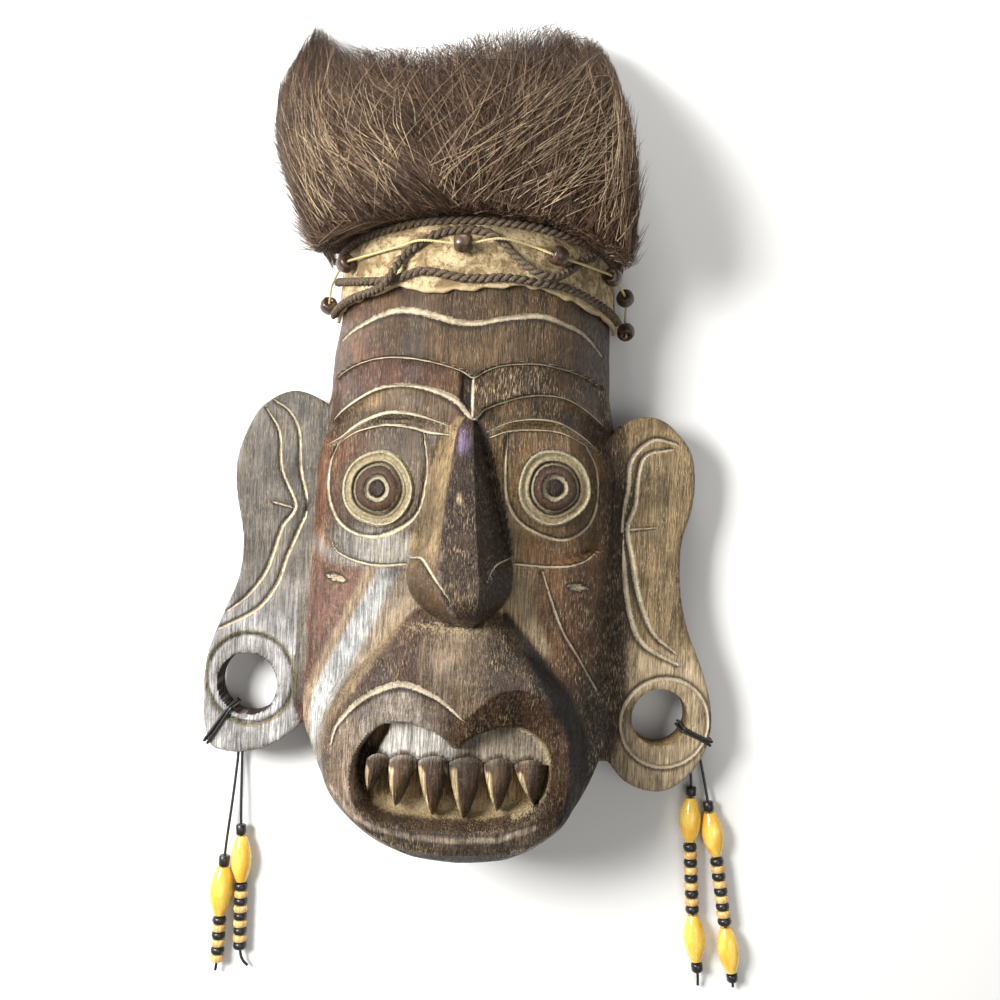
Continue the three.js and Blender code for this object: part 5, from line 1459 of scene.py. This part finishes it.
    # ears
    for side, sign in (("left", -1), ("right", 1)):
        beyond = (x - headMiddle(y)) * sign - headHalfWidth(y)
        onEar = ease((beyond + 1) / 1.5) * (z < 42)
        onEar = np.maximum(onEar, (beyond > -11) * (z < 42) * (z > 5) * (nz > 0.8) * (y > -140))
        tint = paintOver(tint, stainsAndPaintedLight[side + "Ear"], onEar)
        dull = np.where((onEar > 0.5) & (side == "left") & (y > -70), 0.12, dull)
        # the lobes are paler, weathered grey, and on the left lobe the pale blue grey is also a painted
        # highlight
        if side == "left":
            low = ease((-80 - x) / 3) * ease((-60 - y) / 60)
        else:
            low = ease((x - 84) / 6) * ease((-96 - y) / 20)
        low = low * (z < 42) * (nz > 0.5) * (np.abs(x - headMiddle(y)) > headHalfWidth(y))
        tint = paintOver(tint, stainsAndPaintedLight[side + "EarLow"], low)
        holeX, holeY, holeRadius = ears[side]["hole"]
        # the left hole's wall is painted dark as painted shade; the right one is tan
        wall = onEar * (np.hypot(x - holeX, y - holeY) < holeRadius + 1.2) * ease((0.92 - nz) / 0.2)
        tint = paintOver(tint, stainsAndPaintedLight["paintedShade" if side == "left" else "holeTan"], wall)
        ringX, ringY, ringRadius = ears[side]["ring"]
        # an olive line just outside the left ring is a painted lit wall of its groove
        groove = ease(1.5 - np.abs(np.hypot(x - ringX, y - ringY) - ringRadius - 1.3) / 1.0) * onEar
        tint = paintOver(tint, "6d6a45", groove * (side == "left") * 0.85)
        dull = np.where((wall > 0.5) & (side == "left"), 0.4, dull)
        flecks = np.where(onEar > 0.5, 0.35 if side == "left" else 0.7, flecks)
        flecks = flecks * (1 - wall)
        dustAndPaintedLight = np.where(onEar > 0.5, 0, dustAndPaintedLight)
    # painted shade on the right side of the head where the right ear meets it
    rightEdge = ease((x - 69) / 3) * (1 - ease((x - headHalfWidth(y) - headMiddle(y)) / 8)) * (z < 42)
    tint = paintOver(tint, stainsAndPaintedLight["rightEarRootShade"], rightEdge)
    hidden = ease((-nz - 0.2) / 0.3)
    tint = paintOver(tint, stainsAndPaintedLight["back"], hidden)
    addTint(mesh, np.column_stack([tint, flecks * (1 - hidden)]))
    addValue(mesh, "dull", dull)
    addValue(mesh, "dustAndPaintedLight", dustAndPaintedLight * (1 - hidden))
    radius = np.full(count, 40.0)
    for eyeX, eyeY in eyes["places"]:
        radius = np.minimum(radius, np.where(z > 50, eyeRadius(x, y, eyeX, eyeY), 40))
    addValue(mesh, "eyeRadius", radius)
    drawLines(mesh, x, y, z)


def makeMask():
    body = headSolid()
    print("head carved:", len(body.data.polygons), "faces")
    for eyeX, eyeY in eyes["places"]:
        combine(body, eyeSolid(eyeX, eyeY), "UNION")
    combine(body, noseSolid(), "UNION")
    for fang in fangs["places"]:
        combine(body, fangSolid(*fang), "UNION")
    for side in ears:
        combine(body, earSolid(side), "UNION")
    combine(body, hollowSolid(), "DIFFERENCE")
    mesh = body.data
    mesh.validate()
    woodTints(mesh)
    scaleToMetres(mesh)
    smoothShading(mesh, 38)
    body.name = "carved_mask"
    mesh.materials.clear()
    mesh.materials.append(paints["wood"])
    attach(body, "root")
    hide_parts("mask_carving")
    triangles = sum(len(face.vertices) - 2 for face in mesh.polygons)
    print("mask carved:", triangles, "triangles")


makeMask()


# Hide strip round the top of the head

hide = {
    "lower": smoothLine([(-92, 62), (-79, 69), (-71, 74), (-54, 77), (-38, 80), (-22, 77), (0.5, 78.5),
                         (23, 81.5), (43.5, 79.3), (60.5, 75.6), (77, 72), (92, 66)]),
    "topY": 121.0, "thickness": 1.9, "over": 0.4, "turn": 85.0, "columns": 190, "rows": 36,
}


def makeHide():
    turn = np.radians(np.linspace(-hide["turn"], hide["turn"], hide["columns"]))
    share = np.linspace(0, 1, hide["rows"])
    lowY = np.interp(78 * np.sin(turn), hide["lower"][:, 0], hide["lower"][:, 1])
    y = lowY[None, :] + (hide["topY"] - lowY[None, :]) * share[:, None]
    y = y + 0.9 * softNoise(turn * 78, 0, 0, 5, 21)[None, :] * (1 - share[:, None]) ** 4
    over = hide["over"] + 0.5 * (1 - share[:, None]) ** 6 + 0 * y
    x = (headHalfWidth(y) + over) * np.sin(turn)[None, :]
    ripple = softNoise(x, y, 0, 9, 23)
    z = headFront(x, y, over + 0.35 * (ripple + 1))
    bm = sheetGrid(np.stack([x, y, z], axis=2) * mm)
    bmesh.ops.recalc_face_normals(bm, faces=bm.faces)
    if sum(face.normal.z for face in bm.faces) < 0:
        bmesh.ops.reverse_faces(bm, faces=bm.faces)
    area = sum(face.calc_area() for face in bm.faces)
    bmesh.ops.solidify(bm, geom=bm.faces, thickness=-hide["thickness"] * mm)
    bmesh.ops.recalc_face_normals(bm, faces=bm.faces)
    mesh = meshFrom(bm, "hide_strip")
    places = np.array([tuple(vert.co) for vert in mesh.vertices]) / mm
    grime = 0.7 * ease((places[:, 1] - 102) / 12) * ease(0.7 + softNoise(*places.T, 8, 25))
    addTint(mesh, np.column_stack([np.ones((len(places), 3)), grime]))
    lowest = np.interp(places[:, 0], hide["lower"][:, 0], hide["lower"][:, 1])
    addValue(mesh, "rim", 0.7 * ease(1.3 - (places[:, 1] - lowest) / 2.2))
    mesh.shade_smooth()
    strip = addObject("hide_strip", mesh, paints["hide"])
    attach(strip, "root")
    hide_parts("hide_band")


makeHide()
print("hide strip ready")


# Ropes over the hide: x, y and how far the rope is lifted

ropes = {
    "upper": [(-78, 103, 0), (-71, 107, 0), (-57, 109, 0), (-31.5, 112.6, 0), (-14, 113.6, 0), (0, 114, 0),
              (9, 113.8, 0), (28.6, 113, 0), (50.4, 110.5, 0), (63, 109.5, 0), (71, 107.5, 0),
              (78.5, 104, 0)],
    "lower": [(-78.6, 92.5, 0), (-70.5, 88, 0), (-57.5, 84.6, 0), (-42.5, 83.3, 0), (-28, 86.9, 0),
              (-18.6, 86.2, 0), (-7, 84, 0), (4.8, 84, 0), (15.7, 85, 0), (25.2, 84.5, 0), (34.3, 83.8, 0),
              (43, 84, 0), (51.3, 82.8, 0), (60, 80.8, 0), (70, 78.5, 0), (79.3, 76.5, 0)],
    "zigzag": [(-79.6, 73.5, 0.4), (-66, 76.5, 0.6), (-54, 78, 0.8), (-46.5, 79.6, 3.8), (-42, 84.5, 5.6),
               (-38.6, 91, 2.6), (-34.5, 96.6, 0), (-24, 103.6, 0), (-15, 107.2, 0), (-3, 108.4, 0),
               (5, 107.4, 0), (11.8, 103.9, 0), (17.5, 98.4, 0), (24.9, 91.8, 2.4), (31, 87.8, 5.2),
               (38, 86.4, 5.6), (44.6, 89.4, 3.2), (50.7, 95.4, 0), (56.5, 100.4, 0), (61.5, 103.6, 0)],
}
ropeSize = {"over": 4.8, "ply": 1.28, "offset": 1.05, "pitch": 8.2, "step": 0.9}


def evenLine(points, step):
    # the same line with points at even steps
    reach = np.concatenate([[0], np.cumsum(np.linalg.norm(np.diff(points, axis=0), axis=1))])
    even = np.linspace(0, reach[-1], max(2, int(reach[-1] / step)))
    return np.column_stack([np.interp(even, reach, points[:, k]) for k in range(3)]), even


def twisted(points, offset, pitch, phases, step, roughness=0.0, seed=0):
    # lines that wind round a middle line
    middle, reach = evenLine(points, step)
    tangent = np.gradient(middle, axis=0)
    tangent /= np.linalg.norm(tangent, axis=1, keepdims=True)
    side = np.cross(tangent, (0, 0, 1.0))
    side /= np.maximum(np.linalg.norm(side, axis=1, keepdims=True), 1e-9)
    up = np.cross(side, tangent)
    made = []
    for phase in phases:
        angle = 2 * math.pi * reach / pitch + phase + 0.35 * np.sin(reach / 7.3 + seed)
        spread = offset * (1 + roughness * np.sin(reach * 1.7 + phase + seed))
        across, lift = [(wave(angle) * spread)[:, None] for wave in (np.cos, np.sin)]
        made.append(middle + side * across + up * lift)
    return made


def makeRope(name, route, seed):
    plan = smoothLine(route, 6)
    over = ropeSize["over"] + plan[:, 2]
    middle = np.column_stack([plan[:, 0], plan[:, 1], headFront(plan[:, 0], plan[:, 1], over)])
    plies = twisted(middle, ropeSize["offset"], ropeSize["pitch"], (0, math.pi), ropeSize["step"], 0.08, seed)
    plies = [ply * mm for ply in plies]
    rope = curveToMesh(curveTube(f"{name}_rope_plies", plies, ropeSize["ply"] * mm, paints["rope"], 2))
    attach(rope, "root")
    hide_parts(f"{name}_rope")


for ropeSeed, (ropeName, ropeRoute) in enumerate(ropes.items()):
    makeRope(ropeName, ropeRoute, ropeSeed)
print("ropes ready")


# Twine with nut beads: x, y, lift over the wood, and 1 where a bead sits

twine = {
    "route": [(-85.2, 81.5, 9.4, 1), (-80.5, 90, 8.4, 0), (-69.5, 96.2, 8, 1), (-50, 98.6, 4.4, 0),
              (-38, 100, 5.6, 0), (-27, 101.4, 9.2, 0), (-6, 100.4, 8.2, 1), (13, 103.4, 9.2, 0),
              (29, 101.8, 5, 0), (41.5, 98.3, 8, 1), (57.8, 96.4, 8.8, 0), (72.6, 96.2, 8.2, 1),
              (83, 91, 9, 1), (85, 82, 9, 0), (84.6, 72.8, 9, 1)],
    "radius": 0.42, "offset": 0.34, "pitch": 3.2, "nutRadius": 4.9, "nutHalf": 4.5,
    "nutSides": 32, "nutSpan": 5.1,
}


def makeTwine():
    route = np.array(twine["route"])
    places = np.column_stack([route[:, 0], route[:, 1], headFront(route[:, 0], route[:, 1], route[:, 2])])
    points = []
    number = 0
    for i, place in enumerate(places):
        if not route[i, 3]:
            points.append(place)
            continue
        way = places[min(i + 1, len(places) - 1)] - places[max(i - 1, 0)]
        way /= np.linalg.norm(way)
        points += [place + way * step for step in (-twine["nutSpan"], 0.0, twine["nutSpan"])]
        number += 1
        makeNut(number, place, way)
    line = smoothLine(points, 8)
    plies = twisted(line, twine["offset"], twine["pitch"], (0, math.pi), 0.5)
    made = curveTube("pale_twine", [ply * mm for ply in plies], twine["radius"] * mm, paints["twine"], 1)
    made = curveToMesh(made)
    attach(made, "root")
    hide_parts("bead_twine")


def makeNut(number, place, way):
    # a bored nut, a little lopsided, with a dark mouth at each end
    radius, half = twine["nutRadius"], twine["nutHalf"]
    outer = [(radius * s, half * h) for s, h in ((0.42, -0.86), (0.66, -0.97), (0.85, -0.75), (0.97, -0.4),
                                                  (1.0, 0.0), (0.96, 0.42), (0.84, 0.76), (0.64, 0.98),
                                                  (0.42, 0.86))]
    profile = [(1.1, -half * 0.7), *outer, (1.1, half * 0.7)]
    bm = turnedRing(profile, twine["nutSides"])
    for vert in bm.verts:
        angle = math.atan2(vert.co.y, vert.co.x)
        if math.hypot(vert.co.x, vert.co.y) > 2:
            swell = 1 + 0.03 * math.sin(2 * angle + number) + 0.02 * math.sin(5 * angle + 3 * number)
            vert.co.x *= swell
            vert.co.y *= swell
    threadOn(bm, Vector(place) * mm, way)
    mesh = meshFrom(bm, f"nut_{number}")
    mesh.shade_smooth()
    nut = addObject(f"nut_{number}", mesh, paints["nut"])
    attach(nut, "root")
    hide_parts(f"nut_bead_{number}")


makeTwine()
print("twine and nuts ready")


# Two turns of cord through each ear hole

loop = {"radius": 0.85, "clearance": 1.6, "corner": 1.6}


def makeLoop(side):
    ear = ears[side]
    angle = math.radians(ear["cordAngle"])
    way = np.array((math.cos(angle), math.sin(angle)))
    holeX, holeY, holeRadius = ear["hole"]
    dense = smoothLine(ear["outline"], 40)
    towards = (dense - (holeX, holeY)) @ way / np.linalg.norm(dense - (holeX, holeY), axis=1)
    outer = np.linalg.norm(dense[np.argmax(towards)] - (holeX, holeY)) + loop["clearance"]
    inner = holeRadius - loop["clearance"]
    corner = loop["corner"]
    # reach from the hole's middle, face (1 front, -1 back, 0 between them) and rise
    spots = [(inner, 0, 0), (inner + 0.3, 1, -corner), (inner + corner, 1, 0),
             ((inner + outer) / 2, 1, 0.1), (outer - corner, 1, 0), (outer - 0.3, 1, -corner),
             (outer, 0, 0), (outer - 0.3, -1, corner), (outer - corner, -1, 0),
             (inner + corner, -1, 0), (inner + 0.3, -1, corner)]
    turns = []
    for shift in (-1, 1):
        points = []
        for reach, face, rise in spots:
            x, y = holeX + way[0] * reach, holeY + way[1] * reach
            across = shift * (0.95 + 0.25 * math.sin(reach))
            x, y = x - way[1] * across, y + way[0] * across
            top = float(earTop(x)) + loop["clearance"] - 0.6
            bottom = float(earTop(x)) - earSlab["thickness"] - loop["clearance"] + 0.6
            z = top if face > 0 else bottom if face < 0 else (top + bottom) / 2
            points.append((x, y, z + rise))
        turns.append(smoothLine(points, 6, True) * mm)
    made = curveToMesh(curveTube(f"{side}_cord_loop", turns, loop["radius"] * mm, paints["black"], 3, True))
    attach(made, "root")
    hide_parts(f"{side}_ear_loop")


for earSide in ears:
    makeLoop(earSide)
print("ear loops ready")


# Fur crest: guide hairs over its root line, and hairs spread between them

fur = {
    "guides": np.array([
        [(-84, 103), (-96, 128), (-107, 152), (-117, 180), (-116, 200)],
        [(-72, 107), (-86, 132), (-98, 162), (-104, 198), (-98, 236)],
        [(-56, 111), (-70, 134), (-82, 158), (-86, 186), (-80, 214)],
        [(-36, 114), (-48, 136), (-58, 158), (-60, 184), (-52, 214)],
        [(-14, 116.5), (-22, 138), (-28, 162), (-28, 190), (-24, 222)],
        [(6, 117), (11, 140), (14, 168), (12, 202), (8, 238)],
        [(26, 116), (36, 140), (43, 172), (44, 206), (38, 240)],
        [(46, 113), (55, 138), (63, 168), (66, 200), (61, 228)],
        [(65, 107), (70, 132), (73, 158), (73, 184), (69, 207)],
        [(80, 102), (80, 124), (80, 146), (78, 166), (74, 185)]], float),
    "tops": np.array([(100, 103), (118, 107), (138, 104), (160, 93), (185, 76), (208, 56), (226, 34),
                      (240, 20)]),
    "halfWidth": 120.0, "roundness": 0.8, "farthest": 249.5, "lowest": 3.5, "voxel": 2.6, "inset": 4.5,
    "smoothings": 6,
    # how hairs lean across the guides, from left to right
    "lean": [(0.0, -0.05), (0.15, -0.4), (0.35, -0.9), (0.48, -0.4), (0.62, 0.35), (0.85, 0.1), (1.0, 0.0)],
    "pieces": 4, "hairsEach": 9000, "locks": 520, "width": 0.37,
    "colours": ["1a110b", "3b291c", "5d4635", "8b7058", "c4aa89"],
    "straws": 260, "strawWidth": 0.36, "strawColour": "d2bc99",
}


def furTop(x, y):
    # height of the crest's outer surface
    top = np.interp(y, fur["tops"][:, 0], fur["tops"][:, 1])
    cosine = np.clip(np.abs(x) / fur["halfWidth"], 0, 1) ** (1 / fur["roundness"])
    return fur["lowest"] + (top - fur["lowest"]) * np.sqrt(1 - cosine ** 2)


def guideLine(across, reach):
    # place on the guide hairs, by share across the root and share along the hair
    guides = fur["guides"]
    u = np.clip(across, 0, 1) * (len(guides) - 1)
    v = np.clip(reach, 0, 1) * (guides.shape[1] - 1)
    i = np.clip(u.astype(int), 0, len(guides) - 2)
    j = np.clip(v.astype(int), 0, guides.shape[1] - 2)
    s, t = (u - i)[..., None], (v - j)[..., None]
    low = guides[i, j] * (1 - t) + guides[i, j + 1] * t
    high = guides[i + 1, j] * (1 - t) + guides[i + 1, j + 1] * t
    return low * (1 - s) + high * s


def hairPaths(across, start, length, layer, drift, leaning=1.0, steps=4):
    # middle lines of hairs, in millimetres: root by share across and along, how deep they lie
    # and how they stray
    count = len(across)
    t = np.linspace(0, 1, steps)[None, :]
    reach = start[:, None] + length[:, None] * t
    lean = np.interp(across, *np.array(fur["lean"]).T) * length / 0.35 * leaning
    bend = dice.normal(0, 0.2, count)[:, None] * t ** 2
    aside = across[:, None] + ((drift + lean)[:, None] * t + bend) / (len(fur["guides"]) - 1)
    plan = guideLine(aside, reach)
    x = plan[..., 0] + 60 * np.minimum(aside, 0) + 30 * np.maximum(aside - 1, 0)
    y = plan[..., 1] + 50 * np.clip(reach - 1, 0, 0.2) + 30 * np.clip(reach, -0.2, 0)
    y = np.minimum(y, fur["farthest"] - 0.04 * np.abs(x))
    z = fur["lowest"] + (furTop(x, y) - fur["lowest"]) * layer[:, None]
    z = z + np.abs(dice.normal(0, 1.6, count))[:, None] * t
    underneath = np.where(y < 139, headFront(x, y, 4.0) + 0.8, 0)
    z = np.maximum(np.maximum(z, underneath), fur["lowest"])
    return np.stack([x, y, z], axis=2)


def hairMesh(name, paths, widths, colours):
    # a tapering three-sided hair along each path
    count, steps = paths.shape[:2]
    tangent = np.gradient(paths, axis=1)
    tangent /= np.maximum(np.linalg.norm(tangent, axis=2, keepdims=True), 1e-9)
    side = np.cross(tangent, (0, 0, 1.0))
    side /= np.maximum(np.linalg.norm(side, axis=2, keepdims=True), 1e-9)
    up = np.cross(side, tangent)
    taper = (1 - np.linspace(0, 1, steps) ** 1.6 * 0.8)[None, :, None] * widths[:, None, None] / 2
    rings = []
    for k in range(3):
        angle = 2 * math.pi * k / 3 + math.pi / 2
        rings.append(paths + (side * math.cos(angle) + up * math.sin(angle)) * taper)
    body = np.stack(rings, axis=2)[:, :-1].reshape(count, -1, 3)
    points = np.concatenate([body, paths[:, -1:, :]], axis=1)
    each = points.shape[1]
    quads = [(step * 3 + k, step * 3 + (k + 1) % 3, step * 3 + (k + 1) % 3 + 3, step * 3 + k + 3)
             for step in range(steps - 2) for k in range(3)]
    last = (steps - 2) * 3
    ends = [(last + k, last + (k + 1) % 3, each - 1) for k in range(3)] + [(2, 1, 0)]
    faces = []
    for first in range(0, count * each, each):
        faces += [tuple(first + corner for corner in face) for face in quads + ends]
    mesh = bpy.data.meshes.new(name)
    mesh.from_pydata((points.reshape(-1, 3) * mm).tolist(), [], faces)
    mesh.shade_smooth()
    addTint(mesh, np.column_stack([np.repeat(colours, each, axis=0), np.ones(count * each)]))
    return addObject(name, mesh, paints["hair"])


def finishFur(piece):
    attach(piece, "root")
    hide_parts("fur_crest")


def coatPaths(count):
    # the coat in locks, whose hairs start together and lie alike, with some wild hairs
    locks = fur["locks"]
    lock = dice.integers(0, locks, count)
    across = dice.uniform(0.015, 0.985, locks)[lock] + dice.normal(0, 0.008, count)
    start = dice.uniform(-0.02, 0.8, locks)[lock] + dice.normal(0, 0.03, count)
    length = dice.uniform(0.18, 0.4, locks)[lock] * dice.uniform(0.75, 1.2, count)
    drift = dice.normal(0, 0.3, locks)[lock] + dice.normal(0, 0.1, count)
    layer = 1 + dice.normal(0, 0.015, locks)[lock] - np.abs(dice.normal(0, 0.03, count))
    tone = 0.3 * dice.uniform(0, 1, locks)[lock] + 0.7 * dice.uniform(0, 1, count) ** 1.3
    # hairs that lie deeper in the coat are painted darker, as painted shade
    tone = np.clip(tone - 3 * np.maximum(0.98 - layer, 0), 0, 1)
    kind = dice.uniform(0, 1, count)
    # hair down the sides, at the far end and at the root, where the whole depth shows
    sides = kind < 0.13
    across = np.where(sides, np.where(across < 0.5, across * 0.07, 1 - (1 - across) * 0.07), across)
    ends = (kind > 0.13) & (kind < 0.23)
    start = np.where(ends, dice.uniform(0.6, 0.84, count), start)
    roots = (kind > 0.23) & (kind < 0.36)
    start = np.where(roots, dice.uniform(-0.03, 0.03, count), start)
    corners = (kind > 0.23) & (kind < 0.27)
    across = np.where(corners, np.where(across < 0.6, across * 0.2, 1 - (1 - across) * 0.3), across)
    start = np.where(corners, dice.uniform(-0.14, 0.02, count), start)
    length = np.where(roots, dice.uniform(0.08, 0.22, count), length)
    layer = np.where(sides | ends, dice.uniform(0.05, 1.0, count), layer)
    layer = np.where(roots, dice.uniform(0.75, 1.0, count), layer)
    wild = (kind > 0.92) | (roots & (dice.uniform(0, 1, count) < 0.4))
    drift = np.where(wild, dice.normal(0, 1.2, count), drift)
    return hairPaths(across, start, length, layer, drift), tone


def makeFur():
    palette = np.array([sRgb(code) for code in fur["colours"]])
    steps = np.linspace(0, 1, len(palette))
    for number in range(fur["pieces"]):
        count = fur["hairsEach"]
        paths, tone = coatPaths(count)
        widths = fur["width"] * dice.uniform(0.6, 1.25, count)
        tones = np.column_stack([np.interp(tone, steps, palette[:, channel]) for channel in range(3)])
        finishFur(hairMesh(f"fur_hairs_{number + 1}", paths, widths, tones))
    # long pale hairs that cross the coat, most of them leaning to the right
    count = fur["straws"]
    across = dice.uniform(0.05, 0.95, count)
    start = dice.uniform(0, 0.6, count)
    length = dice.uniform(0.2, 0.55, count)
    drift = dice.normal(0.1, 0.6, count) + 1.3 * (across > 0.42) * (across < 0.8)
    paths = hairPaths(across, start, length, np.full(count, 1.02), drift, 0.6, 10)
    tones = np.array([sRgb(fur["strawColour"])] * count) * dice.uniform(0.5, 1.1, (count, 1))
    finishFur(hairMesh("fur_pale_hairs", paths, np.full(count, fur["strawWidth"]), tones))


def makeUndercoat():
    # the thick of the fur: the crest's own form, rounded and drawn in a little
    bm = bmesh.new()
    bm.from_mesh(bpy.data.objects["fur_crest"].data)
    bmesh.ops.remove_doubles(bm, verts=bm.verts, dist=1e-6)
    rough = addObject("rough_coat", meshFrom(bm, "rough_coat"))
    remesh = rough.modifiers.new("even", "REMESH")
    remesh.mode = "VOXEL"
    remesh.voxel_size = fur["voxel"] * mm
    graph = bpy.context.evaluated_depsgraph_get()
    bm = bmesh.new()
    bm.from_mesh(bpy.data.meshes.new_from_object(rough.evaluated_get(graph)))
    bpy.data.objects.remove(rough)
    for _ in range(fur["smoothings"]):
        bmesh.ops.smooth_vert(bm, verts=bm.verts, factor=0.5, use_axis_x=True, use_axis_y=True,
                              use_axis_z=True)
    bm.normal_update()
    inward = [vert.normal * fur["inset"] * mm for vert in bm.verts]
    for vert, step in zip(bm.verts, inward):
        vert.co -= step
    mesh = meshFrom(bm, "fur_undercoat")
    mesh.shade_smooth()
    places = np.array([tuple(vert.co) for vert in mesh.vertices]) / mm
    # each place takes the lie of the nearest guide
    u, v = np.meshgrid(np.linspace(0, 1, 60), np.linspace(0, 1, 40))
    plan = guideLine(u.ravel(), v.ravel())
    nearest = np.concatenate([np.argmin(((part[:, None, :2] - plan[None]) ** 2).sum(axis=2), axis=1)
                              for part in np.array_split(places, 40)])
    addValue(mesh, "flowAcross", u.ravel()[nearest] * 180)
    addValue(mesh, "flowAlong", v.ravel()[nearest] * 105)
    finishFur(addObject("fur_undercoat", mesh, paints["undercoat"]))


makeUndercoat()
makeFur()
print("fur ready")


# Floor and studio light

studio = {"ambient": 0.21, "lamps": [
    ("key", (-0.62, 0.14, 0.74), (-0.02, -0.03, 0.05), 0.36, 18.6),
    ("top", (-0.15, 0.95, 0.5), (0.0, 0.0, 0.05), 0.45, 6.0),
    ("fill", (0.42, -0.3, 1.15), (0.0, 0.0, 0.05), 0.7, 3.4)]}


def makeStudio():
    bm = bmesh.new()
    bmesh.ops.create_grid(bm, x_segments=1, y_segments=1, size=3)
    floorPaint = Paint("floorPaint", roughness=0.9, specular=0.2)
    tone = floorPaint.noise(floorPaint.place(), 0.004, 3, 0.5)
    floorPaint.colour(floorPaint.mix(tone, sRgb("e6e5e2"), sRgb("eeedea")))
    floor = addObject("floor", meshFrom(bm, "floor"), floorPaint.material)
    world = bpy.data.worlds.new("studio")
    world.use_nodes = True
    world.node_tree.nodes["Background"].inputs["Color"].default_value = (1, 1, 1, 1)
    world.node_tree.nodes["Background"].inputs["Strength"].default_value = studio["ambient"]
    scene.world = world
    scene.view_settings.view_transform = "Standard"
    for lamp in studio["lamps"]:
        addLamp(*lamp)


def addLamp(name, place, target, size, power):
    data = bpy.data.lights.new(name, "AREA")
    data.shape = "SQUARE"
    data.size = size
    data.energy = power
    lamp = bpy.data.objects.new(name, data)
    scene.collection.objects.link(lamp)
    lamp.location = place
    lamp.rotation_euler = (Vector(target) - Vector(place)).to_track_quat("-Z", "Y").to_euler()


makeStudio()
print("studio ready")
